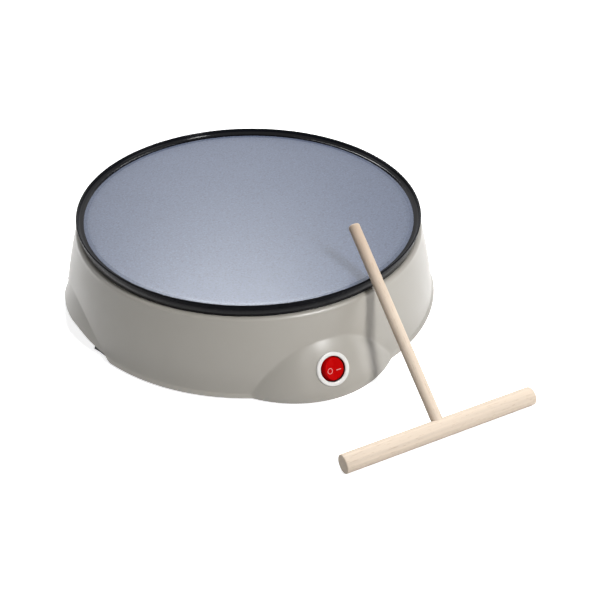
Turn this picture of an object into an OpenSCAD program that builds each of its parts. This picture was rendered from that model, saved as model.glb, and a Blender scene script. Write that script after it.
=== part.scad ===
// Electric crepe maker: a round hot plate on a flared ring body, with a rocker switch on the
// front lug, carrying grips at the sides, a cord gland at the rear and a wooden T spreader.
// Millimetres, +Z up. The origin is on the counter, in the middle of the four feet.
// The switch faces -Y.

/* [Hot plate] */
// Outer diameter of the plate at its lip
plate_d = 300; // [250:1:360]
// Thickness of the cast plate under the cooking surface
plate_thickness = 5.5; // [4:0.1:8]
// Height of the lip above the cooking surface
lip_height = 5.2; // [4:0.1:10]
// Width of the lip across its rounded top
lip_width = 1.6; // [1.2:0.1:2.4]
// Radius of the inner fillet between the cooking surface and the lip
lip_fillet = 2.9; // [1.5:0.1:3.2]
// How far the plate's wall narrows from the lip down to the body
plate_draft = 2; // [0:0.1:3]

/* [Body] */
// Height of the body's shoulder above the counter
body_height = 68; // [60:1:90]
// Height of the skirt's lower edge above the counter
skirt_z = 2; // [1.5:0.1:4]
// Wall thickness of the moulded body
wall = 2.6; // [2.2:0.1:3.2]
// How far the shoulder stands out past the plate's lip
shoulder_out = 1.8; // [1:0.1:4]
// Radius of the rounded shoulder
shoulder_r = 3.3; // [2:0.1:4]
// How far the wall spreads from the shoulder down to the foot band
flare = 13.4; // [8:0.1:20]
// How far the wall swells outside a straight cone
swell = 1; // [0:0.1:2]
// How far the foot band stands out from the wall
foot_band_out = 2.1; // [0.5:0.1:3]
// Height of the foot band
foot_band_height = 3.2; // [2:0.1:5]

/* [Lugs] */
// Radius of the round face of the front and rear lugs
lug_r = 95.5; // [80:0.5:105]
// Lean of the front and rear lugs' faces from upright
lug_lean = 30; // [25:1:35]
// How far the front and rear lugs stand out past the skirt
lug_reach = 14.4; // [10:0.1:18]
// Radius of the round face of the side lugs
grip_r = 115; // [100:1:125]
// Lean of the side lugs' faces from upright
grip_lean = 24; // [18:1:28]
// How far the side lugs stand out past the skirt
grip_reach = 5.6; // [4:0.1:8]
// Height of the raised edge of each carrying grip above the counter
grip_edge_z = 12; // [10:0.5:16]
// Width of the raised edge of each carrying grip
grip_width = 90; // [80:1:96]
// Depth of the finger pocket behind the raised edge
grip_depth = 20; // [18:0.5:24]
// Height of the finger pocket's ceiling above the counter
grip_ceiling_z = 26; // [24:0.5:30]

/* [Switch] */
// Height of the switch's centre above the counter
switch_z = 22.7; // [22:0.1:26]
// Outer diameter of the switch's round bezel
bezel_d = 28; // [26:0.5:30]
// Diameter of the opening that the rocker fills
rocker_opening_d = 20.8; // [17.4:0.1:21]
// Clearance round the rocker
rocker_gap = 0.3; // [0.25:0.05:0.5]
// Angle through which the rocker tips from one side to the other
rocker_travel = 18; // [14:1:20]
// Diameter of the rocker's two pivot pins
rocker_pin_d = 2; // [1.6:0.1:2.2]
// Depth of the switch housing behind the lug's face
switch_depth = 13.5; // [13.2:0.1:13.8]

/* [Heater] */
// Diameter of the heating element's round path
element_path_d = 184; // [160:1:190]
// Diameter of the heating element's tube
element_tube_d = 7; // [6:0.1:8]
// Angle covered by the heating element
element_sweep = 300; // [290:1:310]
// Outer diameter of the heat shield
shield_d = 244; // [236:1:250]
// Thickness of the heat shield's sheet
shield_sheet = 1; // [0.6:0.1:1.5]
// Gap between the plate's underside and the heat shield
shield_drop = 12; // [11:0.5:16]
// Diameter of the thermostat's sensing cap
thermostat_cap_d = 18; // [16:0.5:20]

/* [Base] */
// Thickness of the base cover
cover_thickness = 2.5; // [2:0.1:3.5]
// Diameter of each rubber foot
foot_d = 16; // [12:0.5:20]
// Height of each rubber foot below the cover
foot_height = 2.6; // [2.2:0.1:4]
// Diameter of the circle that the feet stand on
foot_circle_d = 280; // [260:1:284]
// Bore of the cord gland
cord_bore_d = 7.2; // [6:0.1:8.6]
// Height of the cord gland's centre above the counter
gland_z = 24; // [22:0.1:27]

/* [Spreader] */
// Diameter of the spreader's round bar
bar_d = 15; // [12:0.5:20]
// Length of the spreader's bar
bar_length = 170; // [120:1:240]
// Diameter of the spreader's handle
handle_d = 9.4; // [8:0.1:11.2]
// Length of the handle from the bar's centre line to its tip
handle_length = 175; // [165:1:260]
// Where the bar's middle lies to the right of the object's centre line
bar_x = 52.5; // [40:0.5:60]
// Where the bar's middle lies in front of the plate's lip
bar_ahead = 100.5; // [95:0.5:110]
// Turn of the spreader as seen from above
spreader_turn = 2.8; // [0:0.1:6]

/* [Hidden] */
$fn = 96;
EPS = 0.01;
// A cutting block's width, past the widest lug
FAR = plate_d + 100;

// Clearances
fit_gap = 0.05;
seat_gap = 0.3;
touch_gap = 0.1;

// Plate
plate_r = plate_d / 2;
plate_foot_r = plate_r - plate_draft;
plate_gap = 0.3;
plate_wall_z = body_height + plate_gap;
plate_under_z = plate_wall_z + 0.7;
surface_z = plate_under_z + plate_thickness;
lip_top_z = surface_z + lip_height;
lip_crest_r = plate_r - lip_width / 2;
surface_r = plate_r - lip_width - lip_fillet;
plate_skirt_w = 2;

// Body
shoulder_z = body_height - shoulder_r;
wall_top_r = plate_r + shoulder_out;
wall_foot_z = skirt_z + foot_band_height;
wall_foot_r = wall_top_r + flare;
skirt_r = wall_foot_r + foot_band_out;
foot_band_edge = 0.8;
wall_steps = 5;
shoulder_steps = 5;
ledge_in = 11.6;
ledge_drop = 1.5;
ledge_thickness = 3;
ledge_r = plate_foot_r - plate_skirt_w - 0.1;
ledge_inner_r = ledge_r - ledge_in;
ledge_z = body_height - ledge_drop;

// Lugs
lug_top_z = body_height - 10;
lug_angles = [0, 180];
grip_angles = [90, 270];
notch_corner = 5;

// Base
cover_z = foot_height;
cover_top_z = cover_z + cover_thickness;
cover_gap = 0.3;
boss_top_z = 8.2;
screw_head_z = cover_z + 0.4;

// Plate screws and their standoffs
stud_r = 2;
stud_head_r = 3.7;
stud_head_h = 2.2;
stud_grip = 9;
plate_boss_r = 6;
standoff_r = 4.5;
standoff_circle_r = 110;
standoff_angles = [30, 150, 270];
shield_z = plate_under_z - shield_drop - shield_sheet;

// Shell screws
post_r = 4.5;
post_inset = 14.8;
post_circle_r = wall_foot_r - post_inset;
post_angles = [25, 65, 115, 155, 205, 245, 295, 335];
post_rib_w = 2.4;
shell_screw_r = 1.45;
shell_head_r = 3;
shell_head_h = 1.9;
shell_screw_grip = 9;

// Heater fasteners
small_r = 1.5;
small_head_r = 2.7;
small_head_h = 1.8;
small_grip = 4.6;
small_boss_r = 4;
element_r = element_tube_d / 2;
element_path_r = element_path_d / 2;
element_z = plate_under_z - touch_gap - element_r;
strap_h = 1.4;
strap_z = element_z - element_r - touch_gap - strap_h;
strap_w = 10;
strap_angles = [0, 180, 230, 310];
strap_screw_r = element_path_r - 13;
bracket_h = 1.2;
bracket_w = thermostat_cap_d + 2;
thermostat_cap_h = 5;
bracket_z = plate_under_z - thermostat_cap_h - bracket_h;
bracket_screw_x = thermostat_cap_d / 2 + 5.5;
thermostat_body_r = thermostat_cap_d / 2 - 1.8;
thermostat_low_z = shield_z - 3;
blade_w = 6.3;
blade_t = 0.8;
thermostat_blade_x = 4;
thermostat_blade_l = 8;
fuse_r = 3;
fuse_length = 34;
fuse_y = -38;
fuse_z = plate_under_z - touch_gap - fuse_r;
fuse_screw_y = fuse_y - 9;
earth_pos = [-30, 30];
element_end_a = (360 - element_sweep) / 2;
element_end_over = 2.5;
cold_end_r = element_r - 0.6;
cold_end_z = shield_z - 4;
bush_r = 5;
bush_h = 7;
element_pin_r = 1.2;
element_pin_l = 6;

// Leads
lead_r = 1.3;
lead_bend = 9;
lead_sides = 8;
socket = [3, 7, 7];

// Front lug face
lug_front_n = skirt_r + lug_reach;
grip_front_n = skirt_r + grip_reach;
function face_n(front_n, lean, z) = front_n - (z - skirt_z) * tan(lean);
switch_n = face_n(lug_front_n, lug_lean, switch_z);
gland_n = face_n(lug_front_n, lug_lean, gland_z);
bezel_r = bezel_d / 2;
spot_depth = 1.1;
spot_pad_r = bezel_r + 2.5;
spot_pad_h = 2;
bezel_proud = 1.3;
bezel_edge = 0.9;
rocker_bore_r = rocker_opening_d / 2;
rocker_r = rocker_bore_r - rocker_gap;
housing_wall = 1.4;
housing_r = rocker_bore_r + housing_wall;
housing_floor = 1.5;
pivot_z = -3;
rocker_pin_r = rocker_pin_d / 2;
rocker_base = 4.4;
rocker_centre_h = 3.7;
half_travel = rocker_travel / 2;
mark_depth = 0.3;
mark_x = 4;
mark_drop = 1.2;
mark_outer_r = 2.4;
mark_line = 0.6;
dash_length = 4.2;
lever_z = 2.9 - switch_depth;
lever_t = 0.6;
lever_half = 6.4;
lever_w = 4;
lever_pin_r = 0.6;
lever_ratio = 0.6;
cradle_t = 0.4;
cradle_wall = 1.2;
cradle_l = 3.2;
cradle_half = lever_w / 2 + seat_gap + cradle_wall;
plunger_r = 1.5;
plunger_reach = pivot_z - lever_z - lever_pin_r - seat_gap;
terminal_x = 5.4;
terminal_out = 7.5;
terminal_w = 4.8;
contact_r = 1.1;

// Gland
gland_hole_r = 7.6;
gland_flange_r = 10.5;
gland_flange_h = 2.6;
gland_sleeve_r = 5.6;
gland_sleeve_l = 16;
gland_tail = 13;
gland_rings = 3;
gland_nut_r = 10;
gland_nut_h = 4;
cord_r = cord_bore_d / 2;

// Terminal block and cord clamp
block = [32, 15, 13];
block_n = 46;
block_y = skirt_r - block_n;
block_z = cover_top_z + 2;
pole_pitch = 10;
barrel_r = 2.5;
barrel_bore_r = 1.6;
barrel_z = block_z + 6;
barrel_l = 13;
block_screw_x = pole_pitch / 2;
clamp_n = 22;
clamp_y = skirt_r - clamp_n;
clamp = [28, 8, 5.6];
clamp_z = 12.5;
clamp_screw_x = 9.5;

// Spreader
bar_r = bar_d / 2;
handle_r = handle_d / 2;
bar_edge = 0.8;
handle_tip = 1.8;
handle_rest_gap = 0.48;
bar_y = -plate_r - bar_ahead;
handle_dir = 90 + spreader_turn;
// Level distance from the bar's middle to the lip's crest along the handle
along = -(bar_x * cos(handle_dir) + bar_y * sin(handle_dir));
across = bar_x * sin(handle_dir) - bar_y * cos(handle_dir);
lip_level = along - sqrt(pow(lip_crest_r, 2) - pow(across, 2));
lip_rise = lip_top_z - bar_r;
handle_lean = atan(lip_rise / lip_level)
    + asin((handle_r + handle_rest_gap) / sqrt(pow(lip_level, 2) + pow(lip_rise, 2)));

// Colours
BLACK = [0.12, 0.12, 0.13];
PLATE = [0.32, 0.34, 0.38];
TAUPE = [0.62, 0.59, 0.56];
STEEL = [0.75, 0.75, 0.76];
BRASS = [0.80, 0.65, 0.30];
CERAMIC = [0.93, 0.92, 0.88];
WHITE = [0.95, 0.95, 0.95];
RED = [0.80, 0.05, 0.08];
BEECH = [0.87, 0.74, 0.55];
RUBBER = [0.15, 0.15, 0.15];

// Points on an arc about c, from angle a to angle b
function arc(c, r, a, b, n) = [for (i = [0:n]) c + r * [cos(a + (b - a) * i / n), sin(a + (b - a) * i / n)]];

// A point given on a lug's face frame, as a point of the object
function on_face(n, z, lean, p) = [
    p.x, -n + p.y * sin(lean) - p.z * cos(lean), z + p.y * cos(lean) + p.z * sin(lean)
];

// A point that far straight behind the middle of the switch's back face, x to the side
function behind_switch(x, back) = on_face(switch_n, switch_z, lug_lean, [x, 0, -switch_depth - back]);

// Turns +Z to the outward normal of a lug's face, with +Y up the slope
module at_face(n, z, lean) {
    translate([0, -n, z])
        rotate([90 - lean, 0, 0])
            children();
}

module ring_at(angles, r) {
    for (a = angles)
        rotate([0, 0, a])
            translate([r, 0, 0])
                children();
}

module tube(r, bore, z0, z1) {
    difference() {
        translate([0, 0, z0])
            cylinder(r = r, h = z1 - z0);
        translate([0, 0, z0 - 1])
            cylinder(r = bore, h = z1 - z0 + 2);
    }
}

function unit(v) = v / norm(v);

// Rounds each inner corner of a route with a short curve
function rounded(p, reach) = concat(
    [p[0]],
    [for (i = [1:len(p) - 2])
        let (a = p[i - 1] - p[i], b = p[i + 1] - p[i])
        let (u = unit(a) * min(reach, norm(a) * 0.45), v = unit(b) * min(reach, norm(b) * 0.45))
        for (t = [0, 0.5, 1]) p[i] + pow(1 - t, 2) * u + pow(t, 2) * v],
    [p[len(p) - 1]]
);

// The direction of a route at each of its points
function headings(p) = [
    for (i = [0:len(p) - 1])
        let (back = i > 0 ? unit(p[i] - p[i - 1]) : [0, 0, 0])
        let (ahead = i < len(p) - 1 ? unit(p[i + 1] - p[i]) : [0, 0, 0])
        unit(back + ahead)
];

// A side direction carried along a route without twisting
function sides(h) = [
    for (i = 0, s = unit(cross(h[0], [0.31, 0.52, 0.8])); i < len(h);
         i = i + 1, s = i < len(h) ? unit(s - (s * h[i]) * h[i]) : s) s
];

// A wire along a route, as one closed tube
module lead(route, r) {
    p = rounded(route, lead_bend);
    h = headings(p);
    s = sides(h);
    n = lead_sides;
    points = [
        for (i = [0:len(p) - 1])
            for (k = [0:n - 1])
                p[i] + r * (cos(360 * k / n) * s[i] + sin(360 * k / n) * cross(h[i], s[i]))
    ];
    last = n * (len(p) - 1);
    polyhedron(points, concat(
        [[for (k = [0:n - 1]) k]],
        [for (i = [0:len(p) - 2]) for (k = [0:n - 1])
            [n * (i + 1) + k, n * (i + 1) + (k + 1) % n, n * i + (k + 1) % n, n * i + k]],
        [[for (k = [n - 1:-1:0]) last + k]]
    ));
}

// A screw that points up, its head's underside at z = 0
module screw(r, head_r, head_h, grip) {
    translate([0, 0, -EPS])
        cylinder(r = r, h = grip + EPS);
    translate([0, 0, -head_h])
        difference() {
            cylinder(r = head_r, h = head_h);
            translate([0, 0, -1])
                cylinder(r = head_r / 2, h = 1 + head_h / 2, $fn = 6);
        }
}

// ---- Hot plate ----

// Screw places under the plate: [x, y, z of the boss's end]
small_bosses = concat(
    [for (a = strap_angles) [strap_screw_r * cos(a), strap_screw_r * sin(a), strap_z + strap_h]],
    [for (s = [-1, 1]) [s * bracket_screw_x, 0, bracket_z + bracket_h]],
    [[0, fuse_screw_y, fuse_z - fuse_r], [earth_pos.x, earth_pos.y, plate_under_z - 6]]
);
clip_h = 1;
tag_h = 0.8;
// Where each small screw's head bears
small_seats = concat(
    [for (a = strap_angles) [strap_screw_r * cos(a), strap_screw_r * sin(a), strap_z]],
    [for (s = [-1, 1]) [s * bracket_screw_x, 0, bracket_z]],
    [[0, fuse_screw_y, fuse_z - fuse_r - clip_h], [earth_pos.x, earth_pos.y, plate_under_z - 6 - tag_h]]
);

module hot_plate() {
    crest = [lip_crest_r, lip_top_z - lip_width / 2];
    fillet = [surface_r, surface_z + lip_fillet];
    color(PLATE)
        difference() {
            union() {
                rotate_extrude()
                    polygon(concat(
                        [[0, plate_under_z], [plate_foot_r - plate_skirt_w, plate_under_z],
                         [plate_foot_r - plate_skirt_w, plate_wall_z], [plate_foot_r, plate_wall_z]],
                        arc(crest, lip_width / 2, 0, 180, 6),
                        arc(fillet, lip_fillet, 0, -90, 5),
                        [[0, surface_z]]
                    ));
                ring_at(standoff_angles, standoff_circle_r)
                    translate([0, 0, shield_z + shield_sheet])
                        cylinder(r = plate_boss_r, h = shield_drop + 1);
                for (p = small_bosses)
                    translate(p)
                        cylinder(r = small_boss_r, h = plate_under_z - p.z + 1);
            }
            ring_at(standoff_angles, standoff_circle_r)
                translate([0, 0, shield_z])
                    cylinder(r = stud_r + fit_gap, h = stud_grip + 2);
            for (p = small_bosses)
                translate([p.x, p.y, p.z - 1])
                    cylinder(r = small_r + fit_gap, h = small_grip + 1);
        }
}

module plate_seal() {
    color(BLACK)
        tube(ledge_r - 3, ledge_r - 7, ledge_z, plate_under_z);
}

// ---- Body ----

function wall_r(z) =
    let (t = (z - wall_foot_z) / (shoulder_z - wall_foot_z))
    wall_foot_r - flare * t + swell * 4 * t * (1 - t);

// The body's outer form, drawn in by o, from z0 up to z1
module ring_form(o, z0) {
    rotate_extrude()
        polygon(concat(
            [[0, z0], [skirt_r - o, z0], [skirt_r - o, skirt_z + foot_band_edge]],
            [for (i = [0:wall_steps])
                let (z = wall_foot_z + (shoulder_z - wall_foot_z) * i / wall_steps) [wall_r(z) - o, z]],
            arc([wall_top_r - shoulder_r, shoulder_z], shoulder_r - o, 10, 90, shoulder_steps),
            [[0, shoulder_z + shoulder_r - o]]
        ));
}

// One lug: a leaning round column cut off level
module lug_form(r, lean, front_n, o, z0) {
    intersection() {
        translate([0, -(front_n - r / cos(lean)), skirt_z])
            rotate([-lean, 0, 0])
                cylinder(r = r - o, h = 4 * body_height, center = true);
        translate([-FAR / 2, -FAR / 2, z0])
            cube([FAR, FAR, lug_top_z - o - z0]);
    }
}

module body_form(o, z0) {
    ring_form(o, z0);
    for (a = lug_angles)
        rotate([0, 0, a])
            lug_form(lug_r, lug_lean, lug_front_n, o, z0);
    for (a = grip_angles)
        rotate([0, 0, a])
            lug_form(grip_r, grip_lean, grip_front_n, o, z0);
}

// The raised edge over each grip, seen from the side
module grip_notch() {
    half = grip_width / 2;
    c = notch_corner;
    h = grip_edge_z;
    for (a = grip_angles)
        rotate([0, 0, a])
            translate([0, -skirt_r + grip_depth, 0])
                rotate([90, 0, 0])
                    linear_extrude(height = 2 * grip_depth)
                        polygon(concat(
                            [[-half - c, -1], [half + c, -1]],
                            arc([half + c, skirt_z + c], c, 270, 180, 4),
                            arc([half - c, h - c], c, 0, 90, 4),
                            arc([c - half, h - c], c, 90, 180, 4),
                            arc([-half - c, skirt_z + c], c, 0, -90, 4)
                        ));
}

// Posts and ribs that the shell screws hold
module shell_posts() {
    intersection() {
        ring_at(post_angles, post_circle_r)
            union() {
                translate([0, 0, boss_top_z])
                    cylinder(r = post_r, h = body_height);
                translate([0, -post_rib_w / 2, boss_top_z + 4])
                    cube([2 * post_inset, post_rib_w, body_height]);
            }
        body_form(wall / 2, skirt_z);
    }
}

module body_shell() {
    cavity_top = ledge_z - ledge_thickness;
    color(TAUPE)
        difference() {
            union() {
                difference() {
                    body_form(0, skirt_z);
                    intersection() {
                        body_form(wall, skirt_z - 1);
                        translate([-FAR / 2, -FAR / 2, skirt_z - 2])
                            cube([FAR, FAR, cavity_top - skirt_z + 2]);
                    }
                    translate([0, 0, ledge_z])
                        cylinder(r = ledge_r, h = body_height);
                }
                shell_posts();
                at_face(switch_n, switch_z, lug_lean)
                    translate([0, 0, -spot_depth - spot_pad_h])
                        cylinder(r = spot_pad_r, h = spot_pad_h);
                rotate([0, 0, 180])
                    at_face(gland_n, gland_z, lug_lean)
                        translate([0, 0, -spot_depth - spot_pad_h])
                            cylinder(r = gland_flange_r + 2, h = spot_pad_h);
            }
            translate([0, 0, cavity_top - 1])
                cylinder(r = ledge_inner_r, h = body_height);
            ring_at(post_angles, post_circle_r)
                translate([0, 0, boss_top_z - 1])
                    cylinder(r = shell_screw_r + fit_gap, h = shell_screw_grip);
            grip_notch();
            at_face(switch_n, switch_z, lug_lean) {
                translate([0, 0, -switch_depth])
                    cylinder(r = housing_r + touch_gap, h = 2 * switch_depth);
                translate([0, 0, -spot_depth])
                    cylinder(r = bezel_r + touch_gap, h = switch_depth);
            }
            rotate([0, 0, 180])
                at_face(gland_n, gland_z, lug_lean) {
                    translate([0, 0, -switch_depth])
                        cylinder(r = gland_hole_r + touch_gap, h = 2 * switch_depth);
                    translate([0, 0, -spot_depth])
                        cylinder(r = gland_flange_r + touch_gap, h = switch_depth);
                }
        }
}

// ---- Base cover ----

vent_w = 3;
vent_l = 26;
vent_pitch = 8;
vent_count = 7;
pocket_wall = 2;
foot_neck_r = 3;
foot_barb_r = 3.8;
foot_angles = [45, 135, 225, 315];
pocket_x = skirt_r - grip_depth;

// The space inside one finger pocket
module pocket_space(grow) {
    half = grip_width / 2 - 1;
    for (s = [-1, 1])
        translate([s > 0 ? pocket_x - grow : -FAR / 2, -half - grow, -1])
            cube([FAR / 2 - pocket_x + grow, 2 * (half + grow), grip_ceiling_z + grow + 1]);
}

module base_cover() {
    color(BLACK)
        difference() {
            union() {
                intersection() {
                    body_form(wall + cover_gap, cover_z);
                    translate([-FAR / 2, -FAR / 2, cover_z])
                        cube([FAR, FAR, cover_thickness]);
                }
                intersection() {
                    body_form(wall + cover_gap, cover_z);
                    pocket_space(pocket_wall);
                }
                ring_at(standoff_angles, standoff_circle_r)
                    translate([0, 0, cover_z])
                        cylinder(r = standoff_r + 2.5, h = boss_top_z - cover_z);
                ring_at(post_angles, post_circle_r)
                    translate([0, 0, cover_z])
                        cylinder(r = post_r + 1, h = boss_top_z - cover_z);
                translate([-block.x / 2, block_y - block.y / 2, cover_z])
                    cube([block.x, block.y, block_z - cover_z]);
                translate([block_screw_x, block_y, cover_z])
                    cylinder(r = small_boss_r, h = block_z - cover_z);
                translate([-clamp.x / 2, clamp_y - clamp.y / 2, cover_z])
                    cube([clamp.x, clamp.y, clamp_z - cover_z]);
            }
            pocket_space(0);
            ring_at(standoff_angles, standoff_circle_r) {
                translate([0, 0, cover_z - 1])
                    cylinder(r = stud_r + seat_gap, h = boss_top_z);
                translate([0, 0, cover_z - 1])
                    cylinder(r = stud_head_r + seat_gap, h = screw_head_z + stud_head_h - cover_z + 1);
            }
            ring_at(post_angles, post_circle_r) {
                translate([0, 0, cover_z - 1])
                    cylinder(r = shell_screw_r + seat_gap, h = boss_top_z);
                translate([0, 0, cover_z - 1])
                    cylinder(r = shell_head_r + seat_gap, h = screw_head_z + shell_head_h - cover_z + 1);
            }
            ring_at(foot_angles, foot_circle_d / 2)
                translate([0, 0, cover_z - 1])
                    cylinder(r = foot_neck_r + fit_gap, h = cover_thickness + 2);
            translate([0, block_y - FAR / 2, clamp_z])
                rotate([-90, 0, 0])
                    cylinder(r = cord_r - 0.2, h = FAR);
            for (s = [-1, 1])
                translate([s * clamp_screw_x, clamp_y, cover_z + 1.5])
                    cylinder(r = small_r + fit_gap, h = clamp_z);
            translate([block_screw_x, block_y, cover_z + 0.8])
                cylinder(r = small_r + fit_gap, h = block_z);
            for (a = [0, 90, 180, 270])
                rotate([0, 0, a + 45])
                    for (i = [0:vent_count - 1])
                        translate([58, (i - (vent_count - 1) / 2) * vent_pitch - vent_w / 2, cover_z - 1])
                            cube([vent_l, vent_w, cover_thickness + 2]);
        }
}

module foot() {
    neck_top = cover_top_z + touch_gap;
    color(RUBBER)
        rotate_extrude()
            polygon([
                [0, 0], [foot_d / 2, 0], [foot_d / 2, cover_z], [foot_neck_r, cover_z],
                [foot_neck_r, neck_top], [foot_barb_r, neck_top],
                [foot_neck_r - 0.6, neck_top + 3], [0, neck_top + 3]
            ]);
}

module foot_at(i) {
    ring_at([foot_angles[i]], foot_circle_d / 2)
        foot();
}

module foot_rear_right() { foot_at(0); }
module foot_rear_left() { foot_at(1); }
module foot_front_left() { foot_at(2); }
module foot_front_right() { foot_at(3); }

module shell_screws() {
    color(STEEL)
        ring_at(post_angles, post_circle_r)
            translate([0, 0, screw_head_z + shell_head_h])
                screw(shell_screw_r, shell_head_r, shell_head_h, shell_screw_grip + 1.5);
}

module plate_screws() {
    bear_z = screw_head_z + stud_head_h;
    color(STEEL)
        ring_at(standoff_angles, standoff_circle_r)
            translate([0, 0, bear_z])
                screw(stud_r, stud_head_r, stud_head_h, shield_z + shield_sheet + stud_grip - 1 - bear_z);
}

module shield_standoffs() {
    color(STEEL)
        ring_at(standoff_angles, standoff_circle_r)
            tube(standoff_r, stud_r + seat_gap, boss_top_z, shield_z);
}

// ---- Heater ----

shield_rim_h = 8;
element_ends = [
    for (s = [-1, 1])
        let (a = 90 + s * element_end_a)
        [element_path_r * cos(a), element_path_r * sin(a)]
];
fuse_bend_x = fuse_length / 2 + 6;

module heating_element() {
    color(STEEL) {
        translate([0, 0, element_z])
            rotate([0, 0, 90 + element_end_a - element_end_over])
                rotate_extrude(angle = element_sweep + 2 * element_end_over)
                    translate([element_path_r, 0])
                        circle(r = element_r);
        for (p = element_ends) {
            translate([p.x, p.y, cold_end_z])
                cylinder(r = cold_end_r, h = element_z - cold_end_z);
            translate([p.x, p.y, cold_end_z - bush_h - element_pin_l])
                cylinder(r = element_pin_r, h = element_pin_l + bush_h + 1);
        }
    }
}

module element_bushes() {
    color(CERAMIC)
        for (p = element_ends)
            translate([p.x, p.y, 0])
                tube(bush_r, element_pin_r + fit_gap, cold_end_z - bush_h, cold_end_z);
}

module element_clamps() {
    inner = strap_screw_r - strap_w / 2;
    outer = element_path_r + element_r;
    color(STEEL)
        for (a = strap_angles)
            rotate([0, 0, a])
                difference() {
                    translate([inner, -strap_w / 2, strap_z])
                        cube([outer - inner, strap_w, strap_h]);
                    translate([strap_screw_r, 0, strap_z - 1])
                        cylinder(r = small_r + seat_gap, h = strap_h + 2);
                }
}

module heater_screws() {
    color(STEEL)
        for (p = small_seats)
            translate(p)
                screw(small_r, small_head_r, small_head_h, small_grip);
}

module heat_shield() {
    shield_r = shield_d / 2;
    color(STEEL)
        difference() {
            translate([0, 0, shield_z])
                cylinder(r = shield_r, h = shield_sheet + shield_rim_h);
            translate([0, 0, shield_z + shield_sheet])
                cylinder(r = shield_r - shield_sheet, h = shield_rim_h + 1);
            ring_at(standoff_angles, standoff_circle_r)
                translate([0, 0, shield_z - 1])
                    cylinder(r = stud_r + seat_gap, h = shield_sheet + 2);
            translate([0, 0, shield_z - 1])
                cylinder(r = thermostat_body_r + 1.5, h = shield_sheet + 2);
            for (p = element_ends)
                translate([p.x, p.y, shield_z - 1])
                    cylinder(r = element_r + 1.5, h = shield_sheet + 2);
            for (s = [-1, 1])
                translate([s * fuse_bend_x, fuse_y, shield_z - 1])
                    cylinder(r = lead_r + 1.2, h = shield_sheet + 2);
            translate([earth_pos.x + tag_reach, earth_pos.y, shield_z - 1])
                cylinder(r = lead_r + 1.2, h = shield_sheet + 2);
        }
}

module thermostat() {
    color(STEEL)
        translate([0, 0, bracket_z + bracket_h])
            cylinder(r = thermostat_cap_d / 2, h = thermostat_cap_h);
    color(BLACK) {
        translate([0, 0, thermostat_low_z])
            cylinder(r = thermostat_body_r, h = bracket_z + bracket_h + 1 - thermostat_low_z);
        for (s = [-1, 1])
            translate([s * thermostat_blade_x, 0, thermostat_low_z - thermostat_blade_l])
                translate([-blade_t / 2, -blade_w / 2, 0])
                    cube([blade_t, blade_w, thermostat_blade_l + 1]);
    }
}

module thermostat_bracket() {
    half = bracket_screw_x + small_boss_r;
    color(STEEL)
        difference() {
            translate([-half, -bracket_w / 2, bracket_z])
                cube([2 * half, bracket_w, bracket_h]);
            translate([0, 0, bracket_z - 1])
                cylinder(r = thermostat_body_r + touch_gap, h = bracket_h + 2);
            for (s = [-1, 1])
                translate([s * bracket_screw_x, 0, bracket_z - 1])
                    cylinder(r = small_r + seat_gap, h = bracket_h + 2);
        }
}

module thermal_fuse() {
    color(CERAMIC)
        translate([-fuse_length / 2, fuse_y, fuse_z])
            rotate([0, 90, 0])
                cylinder(r = fuse_r, h = fuse_length);
}

// A flat strap that holds the fuse up to the plate, screwed on at one side
module fuse_clip() {
    far_y = fuse_y + fuse_r + 2;
    near_y = fuse_screw_y - small_boss_r;
    z = fuse_z - fuse_r - clip_h;
    color(STEEL)
        difference() {
            translate([-4, near_y, z])
                cube([8, far_y - near_y, clip_h]);
            translate([0, fuse_screw_y, z - 1])
                cylinder(r = small_r + seat_gap, h = clip_h + 2);
        }
}

tag_reach = 10;
tag_w = 7;

module earth_tag() {
    z = plate_under_z - 6 - tag_h;
    color(STEEL)
        difference() {
            translate([earth_pos.x - tag_w / 2, earth_pos.y - tag_w / 2, z])
                cube([tag_w + tag_reach, tag_w, tag_h]);
            translate([earth_pos.x, earth_pos.y, z - 1])
                cylinder(r = small_r + seat_gap, h = tag_h + 2);
        }
}

// ---- Cord entry and terminal block ----

module terminal_block() {
    color(WHITE)
        translate([0, block_y, 0])
            difference() {
                translate([-block.x / 2, -block.y / 2, block_z])
                    cube(block);
                for (i = [-1:1]) {
                    translate([i * pole_pitch, block.y / 2 + 1, barrel_z])
                        rotate([90, 0, 0])
                            cylinder(r = barrel_r + fit_gap, h = block.y + 2);
                    for (s = [-1, 1])
                        translate([i * pole_pitch, s * barrel_l / 4, barrel_z])
                            cylinder(r = 1.7, h = block.z);
                }
                translate([block_screw_x, 0, block_z - 1])
                    cylinder(r = small_r + seat_gap, h = block.z + 2);
            }
}

module terminal_barrels() {
    color(BRASS)
        translate([0, block_y, 0])
            for (i = [-1:1])
                difference() {
                    union() {
                        translate([i * pole_pitch, barrel_l / 2, barrel_z])
                            rotate([90, 0, 0])
                                cylinder(r = barrel_r, h = barrel_l);
                        for (s = [-1, 1])
                            translate([i * pole_pitch, s * barrel_l / 4, barrel_z])
                                cylinder(r = 1.5, h = 4.6);
                    }
                    translate([i * pole_pitch, barrel_l / 2 + 1, barrel_z])
                        rotate([90, 0, 0])
                            cylinder(r = barrel_bore_r, h = barrel_l + 2);
                }
}

module block_screw() {
    grip = block.z + 3;
    color(STEEL)
        translate([block_screw_x, block_y, block_z + block.z])
            rotate([180, 0, 0])
                screw(small_r, small_head_r, small_head_h, grip);
}

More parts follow.
